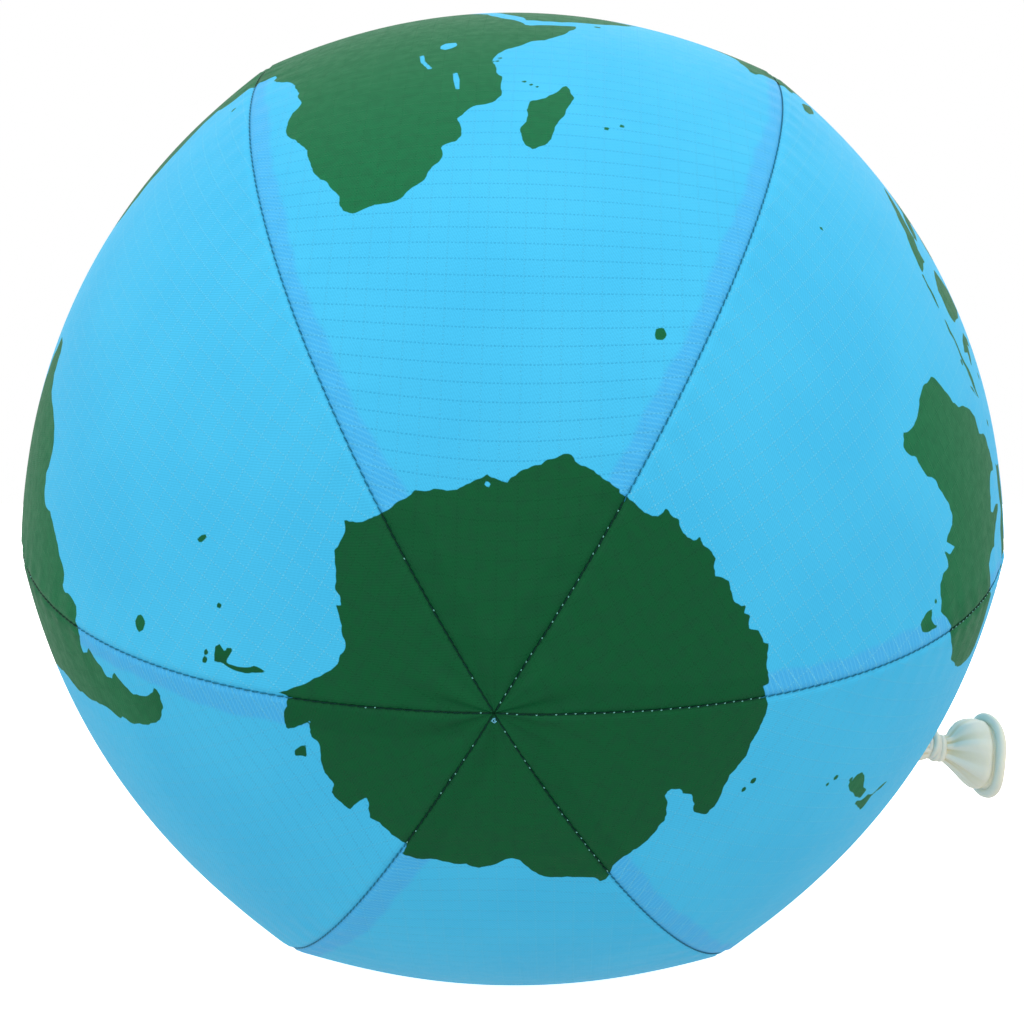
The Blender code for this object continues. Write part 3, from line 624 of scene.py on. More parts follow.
class Nodes:
    """A short way to write a material's node tree."""

    def __init__(self, name):
        self.material = bpy.data.materials.new(name)
        self.material.use_nodes = True
        self.tree = self.material.node_tree
        self.shader = self.tree.nodes["Principled BSDF"]

    def set(self, node, name, value):
        socket = node.inputs[name]
        if isinstance(value, bpy.types.NodeSocket):
            self.tree.links.new(value, socket)
        else:
            socket.default_value = value

    def shade(self, name, value):
        """Sets one of the shader's own sockets, or links a changing value to it."""
        self.set(self.shader, name, value)

    def math(self, operation, first, second=0.0, third=0.0):
        node = self.tree.nodes.new("ShaderNodeMath")
        node.operation = operation
        for index, value in enumerate((first, second, third)):
            self.set(node, index, value)
        return node.outputs[0]

    def attribute(self, name):
        node = self.tree.nodes.new("ShaderNodeAttribute")
        node.attribute_name = name
        return node.outputs["Fac"]

    def ramp(self, value, start, end, low=0.0, high=1.0):
        """A smooth change from low to high as value goes from start to end."""
        node = self.tree.nodes.new("ShaderNodeMapRange")
        node.interpolation_type = "SMOOTHSTEP"
        inputs = {"Value": value, "From Min": start, "From Max": end, "To Min": low, "To Max": high}
        for name, amount in inputs.items():
            self.set(node, name, amount)
        return node.outputs["Result"]

    def mix(self, share, first, second):
        node = self.tree.nodes.new("ShaderNodeMix")
        node.data_type = "RGBA"
        self.set(node, 0, share)
        self.set(node, 6, first)
        self.set(node, 7, second)
        return node.outputs[2]

    def noise(self, scale, detail=2.0, vector=None):
        node = self.tree.nodes.new("ShaderNodeTexNoise")
        node.inputs["Scale"].default_value = scale
        node.inputs["Detail"].default_value = detail
        if vector is None:
            vector = self.tree.nodes.new("ShaderNodeTexCoord").outputs["Object"]
        self.set(node, "Vector", vector)
        return node.outputs["Fac"]

    def bump(self, height, distance):
        node = self.tree.nodes.new("ShaderNodeBump")
        node.inputs["Strength"].default_value = 1.0
        node.inputs["Distance"].default_value = distance
        self.set(node, "Height", height)
        return node.outputs["Normal"]


SEA_BLUE = (0.066, 0.560, 0.900, 1)
SEA_CLOUDED = (0.058, 0.532, 0.876, 1)
SEA_DOUBLED = (0.064, 0.448, 0.862, 1)
# painted shadow in a seam's gap, over the sea
SEA_SEAM_SHADOW = (0.024, 0.300, 0.540, 1)
LAND_GREEN = (0.007, 0.164, 0.059, 1)
LAND_CLOUDED = (0.010, 0.149, 0.057, 1)
POLAR_GREEN = (0.004, 0.101, 0.032, 1)
POLAR_CLOUDED = (0.006, 0.092, 0.033, 1)
LAND_DOUBLED = (0.001, 0.060, 0.020, 1)
# painted shadow in a seam's gap, over the land
LAND_SEAM_SHADOW = (0.001, 0.028, 0.012, 1)
POLAR_GREEN_REACH = (0.055, 0.100)  # metres from the pole, where the darker green ends
# The ripstop threads' painted shade and painted highlight: darker where their ridges would be shaded, paler
# where they would catch the light.
SHADED_THREAD = (0.030, 0.360, 0.660, 1)
# pale colour for the real lines of the doubled weave and for the threads' painted highlight
PALE_THREAD_AND_HIGHLIGHT = (0.170, 0.680, 0.950, 1)
SHORE_SOFTNESS = 0.00012
RIPSTOP_PITCH = 0.0042
RIPSTOP_HALF = 0.00016
RIPSTOP_BEAD = 0.00085  # from one raised crossing to the next, along a thread
WEAVE_PITCH = 0.00062
HATCH_PITCH = 0.0013  # of the pale lines that two layers of weave make together
HATCH_HALF = 0.0002
HATCH_SLANT = 0.35
HATCH_SHARE = 0.22  # how strongly each of these shows
DOUBLED_LINE_SHARE = 0.3
SHADED_LINE_SHARE = 0.45
NET_HIGHLIGHT_SHARE = 0.5
LONG_LINE_SHARE = (0.4, 0.1)  # by how much painted highlight the gore's threads take, and besides
DOUBLED_SEA_SHARE = 0.85
DOUBLED_LAND_SHARE = 0.14
SEAM_SHADOW_SHARE = 0.9
WEAVE_SHADE = 0.07
TWILL_SLANT = 0.55
WEFT_SLANT = -0.3
WEFT_PITCH = 1.7 * WEAVE_PITCH
CLOTH_RELIEF = 0.000045  # metres for a height of one
RIPSTOP_RELIEF = 1.4
WEAVE_RELIEF = 0.22
CREASE_RELIEF = 3.0
LATEX_MILKY = (0.74, 0.75, 0.62, 1)
LATEX_PALE = (0.90, 0.89, 0.75, 1)
LATEX_CREASED = (0.66, 0.55, 0.28, 1)
NET_HIGHLIGHT_BY_GORE = (0.0, 0.9, 0.5, 0.25, 0.25, 0.9)  # painted highlight on the ripstop threads for each gore, where their ridges would catch the light; the rest take painted shade


def line_mask(nodes, metres, pitch, half):
    """1 on lines a pitch apart along a coordinate, 0 between them."""
    off_line = nodes.math("PINGPONG", metres, pitch / 2)
    return nodes.ramp(off_line, half * 0.5, half * 1.6, 1.0, 0.0)


def wave(nodes, metres, pitch):
    return nodes.math("SINE", nodes.math("MULTIPLY", metres, 2 * math.pi / pitch))


def product(nodes, *factors):
    result = factors[0]
    for factor in factors[1:]:
        result = nodes.math("MULTIPLY", result, factor)
    return result


def printed_cloth():
    """Ripstop nylon with the map printed on it, in metres across and along a gore's flat cloth."""
    nodes = Nodes("printed_ripstop")
    across, along = nodes.attribute("cloth_across"), nodes.attribute("cloth_along")
    doubled, net_lit = nodes.attribute("doubled"), nodes.attribute("net_highlight")
    mottle, cloudy = nodes.noise(420.0, 3.0), nodes.noise(28.0, 2.0)
    clouds = nodes.ramp(cloudy, 0.3, 0.7)

    cross_line = line_mask(nodes, along, RIPSTOP_PITCH, RIPSTOP_HALF)
    long_line = line_mask(nodes, across, RIPSTOP_PITCH, RIPSTOP_HALF)
    cross_beads = nodes.ramp(wave(nodes, across, RIPSTOP_BEAD), -0.6, 0.5)
    long_beads = nodes.ramp(wave(nodes, along, RIPSTOP_BEAD), -0.3, 0.6)
    cross_thread = product(nodes, cross_line, cross_beads)
    long_thread = product(nodes, long_line, long_beads)
    net_shaded = nodes.math("SUBTRACT", 1.0, net_lit)

    sea = nodes.mix(clouds, SEA_BLUE, SEA_CLOUDED)
    sea = nodes.mix(product(nodes, doubled, DOUBLED_SEA_SHARE), sea, SEA_DOUBLED)
    slanted = nodes.math("MULTIPLY_ADD", across, HATCH_SLANT, along)
    hatch = line_mask(nodes, slanted, HATCH_PITCH, HATCH_HALF)
    sea = nodes.mix(product(nodes, hatch, doubled, HATCH_SHARE), sea, PALE_THREAD_AND_HIGHLIGHT)
    sea = nodes.mix(product(nodes, cross_line, doubled, DOUBLED_LINE_SHARE), sea, PALE_THREAD_AND_HIGHLIGHT)
    # Gore by gore, the cross threads take painted shade or painted highlight, as if their ridges were lit
    # from one side.
    sea = nodes.mix(product(nodes, cross_thread, net_shaded, SHADED_LINE_SHARE), sea, SHADED_THREAD)
    sea = nodes.mix(product(nodes, cross_thread, net_lit, NET_HIGHLIGHT_SHARE), sea, PALE_THREAD_AND_HIGHLIGHT)
    # The long threads are a little pale everywhere, and take more painted highlight in some gores.
    long_share = nodes.math("MULTIPLY_ADD", net_lit, *LONG_LINE_SHARE)
    sea = nodes.mix(product(nodes, long_thread, long_share), sea, PALE_THREAD_AND_HIGHLIGHT)

    polar = nodes.ramp(along, *POLAR_GREEN_REACH, 1.0, 0.0)
    fleck = nodes.ramp(mottle, 0.35, 0.7)
    green = nodes.mix(fleck, LAND_GREEN, LAND_CLOUDED)
    green = nodes.mix(polar, green, nodes.mix(fleck, POLAR_GREEN, POLAR_CLOUDED))
    green = nodes.mix(product(nodes, doubled, DOUBLED_LAND_SHARE), green, LAND_DOUBLED)

    # Painted shadow: the cloth is darkened along the narrow gap at each seam.
    in_seam_shadow = nodes.ramp(nodes.attribute("seam_distance"), 0.0, SEAM_SHADOW_HALF_WIDTH, SEAM_SHADOW_SHARE, 0.0)
    sea, green = nodes.mix(in_seam_shadow, sea, SEA_SEAM_SHADOW), nodes.mix(in_seam_shadow, green, LAND_SEAM_SHADOW)
    land = nodes.ramp(nodes.attribute("shore"), -SHORE_SOFTNESS, SHORE_SOFTNESS)
    twill = wave(nodes, nodes.math("MULTIPLY_ADD", along, TWILL_SLANT, across), WEAVE_PITCH)
    weft = wave(nodes, nodes.math("MULTIPLY_ADD", across, WEFT_SLANT, along), WEFT_PITCH)
    weave = nodes.math("MULTIPLY_ADD", weft, 0.4, twill)
    printed = nodes.mix(land, sea, green)
    woven = nodes.mix(nodes.ramp(weave, -1.0, 1.2, 0.0, WEAVE_SHADE), printed, (0, 0, 0, 1))
    nodes.shade("Base Color", woven)
    raised = nodes.math("MAXIMUM", cross_thread, long_thread)
    height = nodes.math("MULTIPLY_ADD", raised, RIPSTOP_RELIEF, product(nodes, weave, WEAVE_RELIEF))
    height = nodes.math("MULTIPLY_ADD", nodes.noise(140.0, 2.0), CREASE_RELIEF, height)
    nodes.shade("Normal", nodes.bump(height, CLOTH_RELIEF))
    nodes.shade("Roughness", nodes.ramp(mottle, 0.2, 0.8, 0.48, 0.60))
    nodes.shade("Specular IOR Level", 0.08)
    return nodes.material


def thread(name, on_sea, on_land):
    """Twisted polyester thread, which takes up the colour of the print round it."""
    nodes = Nodes(name)
    fibres = nodes.noise(2600.0, 2.0)
    near_land = nodes.attribute("over_land")
    dark, light = (nodes.mix(near_land, sea, land) for sea, land in zip(on_sea, on_land))
    nodes.shade("Base Color", nodes.mix(fibres, dark, light))
    nodes.shade("Normal", nodes.bump(fibres, 0.00004))
    nodes.shade("Roughness", 0.6)
    nodes.shade("Specular IOR Level", 0.1)
    return nodes.material


def milky_latex():
    """Thin milky latex, yellower where it is gathered into creases."""
    nodes = Nodes("milky_latex")
    cloudy = nodes.noise(160.0, 3.0)
    fine = nodes.noise(900.0, 2.0)
    colour = nodes.mix(cloudy, LATEX_MILKY, LATEX_PALE)
    colour = nodes.mix(nodes.attribute("gathered"), colour, LATEX_CREASED)
    nodes.shade("Base Color", colour)
    nodes.shade("Roughness", nodes.ramp(fine, 0.3, 0.7, 0.34, 0.50))
    nodes.shade("Normal", nodes.bump(fine, 0.00005))
    nodes.shade("Subsurface Weight", 0.2)
    nodes.shade("Subsurface Radius", (0.0016, 0.0016, 0.0010))
    nodes.shade("Subsurface Scale", 1.0)
    nodes.shade("Specular IOR Level", 0.4)
    return nodes.material


CLOTH_MATERIAL = printed_cloth()
THREAD_MATERIAL = thread(
    "dark_sewing_thread",
    on_sea=((0.006, 0.110, 0.180, 1), (0.020, 0.220, 0.330, 1)),
    on_land=((0.001, 0.022, 0.018, 1), (0.003, 0.050, 0.036, 1)),
)
LOOP_MATERIAL = thread(
    "pale_sewing_thread",
    on_sea=((0.10, 0.42, 0.60, 1), (0.22, 0.60, 0.78, 1)),
    on_land=((0.10, 0.38, 0.34, 1), (0.24, 0.58, 0.52, 1)),
)
LATEX_MATERIAL = milky_latex()


# Mesh helpers.


def new_object(name, data):
    item = bpy.data.objects.new(name, data)
    bpy.context.scene.collection.objects.link(item)
    return item


def link_piece(name, mesh, material):
    mesh.materials.append(material)
    mesh.shade_smooth()
    item = new_object(name, mesh)
    return item


def thicken(item, name, thickness):
    """Gives a surface a thickness, inwards."""
    shell = item.modifiers.new(name, "SOLIDIFY")
    shell.thickness = thickness
    shell.offset = -1.0


def set_attribute(mesh, name, values):
    attribute = mesh.attributes.new(name, "FLOAT", "POINT")
    attribute.data.foreach_set("value", np.asarray(values, np.float32).ravel())


def grid_faces(rows, columns, wrap=False):
    """Corner numbers of the faces of a grid of points, row by row."""
    across = columns if wrap else columns - 1
    row, column = np.meshgrid(np.arange(rows - 1), np.arange(across), indexing="ij")
    after = (column + 1) % columns
    low, high = row * columns, (row + 1) * columns
    corners = (low + column, low + after, high + after, high + column)
    return np.stack(corners, axis=-1).reshape(-1, 4)


def cloth_piece(name, gore, fraction, latitude, lift, keep=None):
    """A sheet of printed cloth through a grid of places on one gore."""
    points = to_frame(on_ball(gore, fraction, latitude, lift)).reshape(-1, 3)
    faces = grid_faces(*fraction.shape)
    if keep is not None:
        faces = faces[keep.ravel()[faces].all(axis=1)]
    mesh = bpy.data.meshes.new(name)
    mesh.from_pydata(points, [], faces.tolist())
    longitude = longitude_at(gore, fraction)
    set_attribute(mesh, "shore", shore_distance(longitude.ravel(), latitude.ravel()))
    across, along = on_flat_cloth(gore, fraction, latitude)
    set_attribute(mesh, "cloth_across", across)
    set_attribute(mesh, "cloth_along", along)
    set_attribute(mesh, "doubled", doubled_cloth(gore, fraction, latitude))
    set_attribute(mesh, "seam_distance", seam_distance(gore, fraction, latitude))
    # how much painted highlight this gore's ripstop threads take
    set_attribute(mesh, "net_highlight", np.full(fraction.shape, NET_HIGHLIGHT_BY_GORE[gore]))
    return link_piece(name, mesh, CLOTH_MATERIAL)


def doubled_cloth(gore, fraction, latitude):
    """1 where the seam allowance lies under the cloth: by the first seam it is folded eastwards."""
    width = gore_width(gore, latitude)
    along = along_meridian(latitude)
    amount = np.zeros(fraction.shape)
    if gore == 0:
        amount = np.maximum(amount, allowance_strip(fraction * width, along, 0))
    if gore != 5:
        amount = np.maximum(amount, allowance_strip((1 - fraction) * width, along, gore + 1))
    return amount


def allowance_strip(away, along, seam):
    """1 on the strip beside a seam, whose far edge wanders and is soft."""
    wander = 0.16 * np.sin(along / 0.019 + seam) + 0.09 * np.sin(along / 0.0061 + 2 * seam)
    wander += POLAR_SPREAD * np.exp(-((along / 0.07) ** 2)) + 0.05 * np.sin(along / 0.0019 + 3 * seam)
    edge = ALLOWANCE * (1 + wander)
    return 1 - smooth_step((away - edge + ALLOWANCE_SOFTNESS) / (2 * ALLOWANCE_SOFTNESS))


def cloth_lift(gore, fraction, latitude):
    """The seams' dips and puckers, and the wrinkles round the poles."""
    width = gore_width(gore, latitude)
    along = along_meridian(latitude)
    lift = np.zeros(fraction.shape)
    fade = smooth_step(width / SEAM_FADE)
    first_side, last_side = (fraction * width, gore, 0.0), ((1 - fraction) * width, (gore + 1) % 6, 2.1)
    for away, seam, shift in (first_side, last_side):
        fold = np.exp(-((away / DIP_WIDTH) ** 2))
        phase = 2 * math.pi * along / PUCKER_PITCH + 1.6 * np.sin(along / 0.017 + 3 * seam) + shift
        pucker = PUCKER * (1 - fold) * np.exp(-away / PUCKER_REACH) * np.sin(phase) * fade
        lift += pucker - SEAM_DIP * fold * fade
    turn = np.radians(longitude_at(gore, fraction))
    folds = np.sin(7 * turn + 1.2 * np.sin(2 * turn)) + 0.6 * np.sin(13 * turn + 2.0 * np.sin(turn))
    round_pole = np.exp(-(((90 - abs(latitude) - WRINKLE_CENTRE) / WRINKLE_REACH) ** 2))
    return lift + POLE_WRINKLE * round_pole * folds


def columns():
    """Fractions of the way across a gore, closer together beside its seams."""
    beside = np.array(SEAM_COLUMNS)
    between = np.linspace(1.5 * beside[-1], 1 - 1.5 * beside[-1], GORE_COLUMNS)
    return np.concatenate((beside, between, 1 - beside[::-1]))


COLUMNS = columns()


def latitudes_between(south, north):
    """Latitudes a row step apart along the cloth."""
    start, end = along_meridian(south), along_meridian(north)
    places = np.linspace(start, end, max(2, round((end - start) / ROW_STEP) + 1))
    return np.interp(places, MERIDIAN[1], MERIDIAN[0])


def cloth_grid(south, north):
    """Latitudes and fractions across a gore, for a grid of places between two latitudes."""
    return np.meshgrid(latitudes_between(south, north), COLUMNS, indexing="ij")


# The five whole gores.


def whole_gore(gore):
    number = gore + 1
    latitude, fraction = cloth_grid(-90, 90)
    lift = cloth_lift(gore, fraction, latitude)
    item = cloth_piece(f"sewn_gore_{number}", gore, fraction, latitude, lift)
    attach(item, "cover")
    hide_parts(f"gore_{number}")


# The opening's gore: the southern panel with its flap, over the northern one.


def flap_rise(fraction):
    """Degrees of latitude from the fold to the southern panel's edge."""
    lap = LAP / gore_width(OPENING_GORE, OPENING_HINGE)
    column = (fraction - lap) / (1 - 2 * lap) * OPENING_COLUMNS
    across = (column - OPENING_COLUMNS / 2) / FLAP_ROUNDING
    return FLAP_DEPTH / METRES_PER_DEGREE * np.sqrt(np.clip(1 - across * across, 0, 1))


NECK_LATITUDE = OPENING_HINGE + float(flap_rise(np.array(NECK_FRACTION))) + NECK_PAST_FLAP


def from_neck(fraction):
    """Metres across the gore from the neck's middle."""
    return (fraction - NECK_FRACTION) * gore_width(OPENING_GORE, NECK_LATITUDE)


def southern_edge(fraction):
    """Latitude of the southern panel's edge, with the notch that clears the neck."""
    edge = OPENING_HINGE + flap_rise(fraction)
    away = from_neck(fraction)
    notch = NECK_LATITUDE - np.sqrt(np.clip(NECK_HOLE**2 - away**2, 0, 1)) / METRES_PER_DEGREE
    return np.where(abs(away) < NECK_HOLE, np.minimum(edge, notch), edge)


def fold_line():
    """Two points on the middle of the opening's gore, just south and just north of the hinge."""
    start = to_frame(on_ball(OPENING_GORE, 0.5, OPENING_HINGE + FOLD_START))
    end = to_frame(on_ball(OPENING_GORE, 0.5, OPENING_HINGE + FOLD_END))
    return start, end


def hemmed(edge_gap):
    """Lift of a folded hem: the cloth is twice as thick beside its edge."""
    inner_edge = 1 - smooth_step((edge_gap - HEM_WIDTH) / HEM_FADE)
    return HEM_RISE * smooth_step(edge_gap / HEM_EDGE) * inner_edge


def southern_panel():
    """The panel with its flap. Its rows bend from a straight one up to the curved edge."""
    straight = OPENING_HINGE - FLAP_START
    base_rows = latitudes_between(-90, straight)
    share = np.linspace(0, 1, FLAP_ROWS)[1:, None]
    top = straight + share * (southern_edge(COLUMNS) - straight)
    latitude = np.concatenate((np.repeat(base_rows[:, None], len(COLUMNS), axis=1), top))
    fraction = np.repeat(COLUMNS[None, :], len(latitude), axis=0)
    edge_gap = (OPENING_HINGE + flap_rise(fraction) - latitude) * METRES_PER_DEGREE
    lift = cloth_lift(OPENING_GORE, fraction, latitude) + hemmed(edge_gap)
    item = cloth_piece("opening_cover", OPENING_GORE, fraction, latitude, lift)
    thicken(item, "cloth", SHELL_THICKNESS)
    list(fold_line())
    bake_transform(item)
    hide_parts("opening_panel_south", "opening_flap")


def northern_panel():
    """The panel under the flap, sunk below it and slotted for the neck."""
    latitude, fraction = cloth_grid(UNDER_HEM, 90)
    past_edge = latitude - OPENING_HINGE - flap_rise(fraction)
    covered = 1 - smooth_step((past_edge - UNDER_STEP[0]) / (UNDER_STEP[1] - UNDER_STEP[0]))
    parted = smooth_step(seam_distance(OPENING_GORE, fraction, latitude) / SEWN_REACH)
    sunk = SEWN_LAYER + (CLOTH_LAYER - SEWN_LAYER) * parted
    lift = cloth_lift(OPENING_GORE, fraction, latitude) - sunk * covered
    lift += hemmed((latitude - UNDER_HEM) * METRES_PER_DEGREE)
    north_of_neck = (latitude - NECK_LATITUDE) * METRES_PER_DEGREE
    away = abs(from_neck(fraction))
    in_slot = (away < NECK_SLOT) & (north_of_neck < 0)
    in_hole = np.hypot(away, north_of_neck) < NECK_SLOT
    item = cloth_piece(
        "opening_under_panel", OPENING_GORE, fraction, latitude, lift, keep=~(in_slot | in_hole)
    )
    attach(item, "cover")
    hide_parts("opening_panel_north")


# Stitches.


def stitch_tube(start, end, outward, radius, arch):
    """One arched stitch of thread, as the points of a short tube's rings."""
    points = []
    along = end - start
    sideways = np.cross(outward, along / np.linalg.norm(along))
    for share, width in zip(TUBE_SHARES, TUBE_WIDTHS):
        middle = start + along * share + outward * arch * math.sin(math.pi * share)
        for side in range(TUBE_SIDES):
            angle = 2 * math.pi * side / TUBE_SIDES
            offset = sideways * math.cos(angle) + outward * math.sin(angle)
            points.append(middle + offset * radius * width)
    return points


def tube_faces():
    last = TUBE_SIDES * (len(TUBE_SHARES) - 1)
    ends = [tuple(range(TUBE_SIDES - 1, -1, -1)), tuple(range(last, last + TUBE_SIDES))]
    return [tuple(face) for face in grid_faces(len(TUBE_SHARES), TUBE_SIDES, wrap=True)] + ends


def on_land(stations):
    """1 for each station on printed land, 0 for each on the sea."""
    places = np.array([place for place, _, _ in stations]) - np.array(CENTRE)
    east, north, up = (places @ np.array(BALL.to_3x3())).T
    latitude = np.degrees(np.arcsin(np.clip(up / (RADIUS * POLAR_STRETCH), -1, 1)))
    return (shore_distance(np.degrees(np.arctan2(north, east)), latitude) > 0).astype(float)


def stitches(name, stations, loops_showing, rng):
    """A row of slanted stitches. On land, a share of the lower thread's loops shows between them."""
    points, faces, materials, over_land = [], [], [], []

    def add_tube(place, heading, outward, land, length, radius, arch, material):
        base = len(points)
        half = heading * length / 2
        points.extend(stitch_tube(place - half, place + half, outward, radius, arch))
        over_land.extend([land] * (len(points) - base))
        faces.extend(tuple(base + corner for corner in face) for face in tube_faces())
        materials.extend([material] * len(tube_faces()))

    slant = math.radians(STITCH_SLANT)
    for (place, heading, outward), land in zip(stations, on_land(stations)):
        side = np.cross(outward, heading)
        turned = heading * math.cos(slant) + side * math.sin(slant)
        add_tube(place, turned, outward, land, STITCH_LENGTH, THREAD_RADIUS, STITCH_ARCH, 0)
        if rng.random() < land * loops_showing:
            between = place + heading * STITCH_PITCH / 2 + side * rng.uniform(-1, 1) * LOOP_RADIUS
            add_tube(between, turned, outward, land, LOOP_LENGTH, LOOP_RADIUS, LOOP_RADIUS, 1)
    mesh = bpy.data.meshes.new(name)
    mesh.from_pydata([tuple(point) for point in points], [], faces)
    set_attribute(mesh, "over_land", over_land)
    item = link_piece(name, mesh, THREAD_MATERIAL)
    mesh.materials.append(LOOP_MATERIAL)
    mesh.polygons.foreach_set("material_index", materials)
    return item


def along_line(line):
    """Stations a stitch apart along a line of points: place, heading and outward direction."""
    steps = np.linalg.norm(np.diff(line, axis=0), axis=1)
    travelled = np.concatenate(((0.0,), np.cumsum(steps)))
    stops = np.arange(STITCH_PITCH / 2, travelled[-1], STITCH_PITCH)

    def at(distances):
        return np.stack([np.interp(distances, travelled, line[:, axis]) for axis in range(3)], axis=-1)

    places = at(stops)
    headings = at(stops + STITCH_PITCH / 4) - at(stops - STITCH_PITCH / 4)
    headings /= np.linalg.norm(headings, axis=1, keepdims=True)
    outwards = places - np.array(CENTRE)
    outwards -= headings * (outwards * headings).sum(1)[:, None]
    outwards /= np.linalg.norm(outwards, axis=1, keepdims=True)
    return list(zip(places, headings, outwards))


def seam_stitches(seam):
    """The row of stitches along a whole seam, in the seam's dip."""
    latitudes = latitudes_between(POLE_GAP - 90, 90 - POLE_GAP)
    edge = np.zeros(latitudes.shape)
    lift = cloth_lift(seam % 6, edge, latitudes)
    line = to_frame(on_ball(seam, edge, latitudes, lift + SEAM_STITCH_LIFT))
    rng = random.Random(LOOP_SEED + seam)
    item = stitches(f"seam_stitches_{seam + 1}", along_line(line), LOOPS_SHOWING[seam], rng)
    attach(item, "cover")
    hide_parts(f"seam_stitching_{seam + 1}")


def flap_stitches():
    """Stitching of the hem, a set distance inside the southern panel's edge."""
    fraction = np.linspace(0.05, 0.95, 200)
    latitude = OPENING_HINGE + flap_rise(fraction) - HEM_INSET / METRES_PER_DEGREE
    line = to_frame(on_ball(OPENING_GORE, fraction, latitude, HEM_STITCH_LIFT))
    item = stitches("flap_stitches", along_line(line), 0.0, random.Random(LOOP_SEED))
    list(fold_line())
    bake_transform(item)
    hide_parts("flap_hem_stitching")


def pole_knot(name, pole):
    """The ends of the thread, knotted close to where the six seams meet."""
    rng = random.Random(POLE_KNOT_SEED)
    path = bpy.data.curves.new(name, "CURVE")
    path.dimensions = "3D"
    path.bevel_depth = THREAD_RADIUS
    path.bevel_resolution = 2
    for _ in range(POLE_KNOT_STRANDS):
        line = path.splines.new("BEZIER")
        line.bezier_points.add(3)
        heading = rng.uniform(0, 2 * math.pi)
        for index, point in enumerate(line.bezier_points):
            turn = heading + index * rng.uniform(*POLE_KNOT_TURN)
            reach = rng.uniform(*POLE_KNOT_REACH)
            lift = rng.uniform(-POLE_KNOT_LIFT, POLE_KNOT_LIFT)
            place = Vector((reach * math.cos(turn), POLE_KNOT_OFFSET + reach * math.sin(turn), 0.0))
            place.z = pole * (RADIUS * POLAR_STRETCH + lift)
            point.co = BALL @ place
            point.handle_left_type = point.handle_right_type = "AUTO"
    path.materials.append(LOOP_MATERIAL)
    item = new_object(name, path)
    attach(item, "cover")


# The balloon's tied end.


def neck_frame():
    base = to_frame(on_ball(OPENING_GORE, NECK_FRACTION, NECK_LATITUDE))
    turn = NECK_DIRECTION.to_track_quat("Z", "Y").to_matrix().to_4x4()
    return Matrix.Translation(Vector(base)) @ turn


NECK = neck_frame()


def upward_angle():
    """The angle round the neck's axis that faces up."""
    up = NECK.to_3x3().inverted() @ Vector((0, 0, 1))
    return math.atan2(up.y, up.x)


UPWARD = upward_angle()


def latex_skin(name, rings, place, sides):
    """A skin round the neck's axis: place(ring, angle) gives radius, distance along and gathering."""
    angles = np.arange(sides) * 2 * math.pi / sides
    points, gathered = [], []
    for ring in rings:
        for angle in angles:
            reach, ahead, crease = place(ring, angle)
            points.append(NECK @ Vector((reach * math.cos(angle), reach * math.sin(angle), ahead)))
            gathered.append(crease)
    mesh = bpy.data.meshes.new(name)
    mesh.from_pydata(points, [], grid_faces(len(rings), sides, wrap=True).tolist())
    set_attribute(mesh, "gathered", gathered)
    return link_piece(name, mesh, LATEX_MATERIAL)


def tied_neck():
    """The stretched neck from inside the cover to the knot, gathered into lengthwise creases."""
    end = KNOT_CENTRE - NECK_TO_KNOT

    def creased(share, angle):
        along = NECK_START + (end - NECK_START) * share
        bulge = math.exp(-(((along - BULGE_CENTRE) / BULGE_REACH) ** 2))
        fan = NECK_FULLNESS + NECK_BULGE * bulge
        crease = 0.07 * math.sin(9 * angle + 3 * share) + 0.05 * math.sin(14 * angle - 2 * share)
        depth = float(smooth_step(-crease / 0.10))
        return NECK_RADIUS * (fan + crease), along, 0.6 * depth

    item = latex_skin("tied_neck", np.linspace(0, 1, 40), creased, sides=120)
    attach(item, "neck")
    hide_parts("balloon_neck")


KNOT_ROUNDS = (  # along from the knot's centre, raised, ring's radius, rubber's half width, tilt, turn
    (-0.0024, 0.0003, 0.0027, 0.00080, 6, 0.3),
    (-0.0012, 0.0009, 0.0033, 0.00090, 8, 1.2),
    (0.0002, 0.0, 0.0026, 0.00115, -4, 2.0),
    (0.0015, 0.0, 0.0026, 0.00115, 4, 4.0),
)


def wrapped_knot():
    """Rounds of rolled rubber wrapped about the neck."""
    shape = bmesh.new()
    for along, raised, ring, thick, tilt, turn in KNOT_ROUNDS:
        raise_to = (raised * math.cos(UPWARD), raised * math.sin(UPWARD), KNOT_CENTRE + along)
        matrix = NECK @ Matrix.Translation(raise_to)
        matrix = matrix @ Matrix.Rotation(turn, 4, "Z") @ Matrix.Rotation(math.radians(tilt), 4, "X")
        add_round(shape, matrix, ring, thick)
    mesh = bpy.data.meshes.new("wrapped_knot")
    shape.to_mesh(mesh)
    shape.free()
    item = link_piece("wrapped_knot", mesh, LATEX_MATERIAL)
    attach(item, "knot")
    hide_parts("balloon_knot")


def add_round(shape, matrix, ring, thick, around=64, tube=16):
    """A closed ring of rubber, uneven in thickness."""
    corners = []
    for n in range(around):
        turn = 2 * math.pi * n / around
        swell = 1 + 0.07 * math.sin(3 * turn + 1) + 0.04 * math.sin(7 * turn)
        for k in range(tube):
            angle = 2 * math.pi * k / tube
            reach = ring + thick * swell * math.cos(angle)
            place = Vector((reach * math.cos(turn), reach * math.sin(turn), thick * swell * math.sin(angle)))
            corners.append(shape.verts.new(matrix @ place))
    for face in grid_faces(around + 1, tube, wrap=True):
        shape.faces.new([corners[corner % (around * tube)] for corner in face])


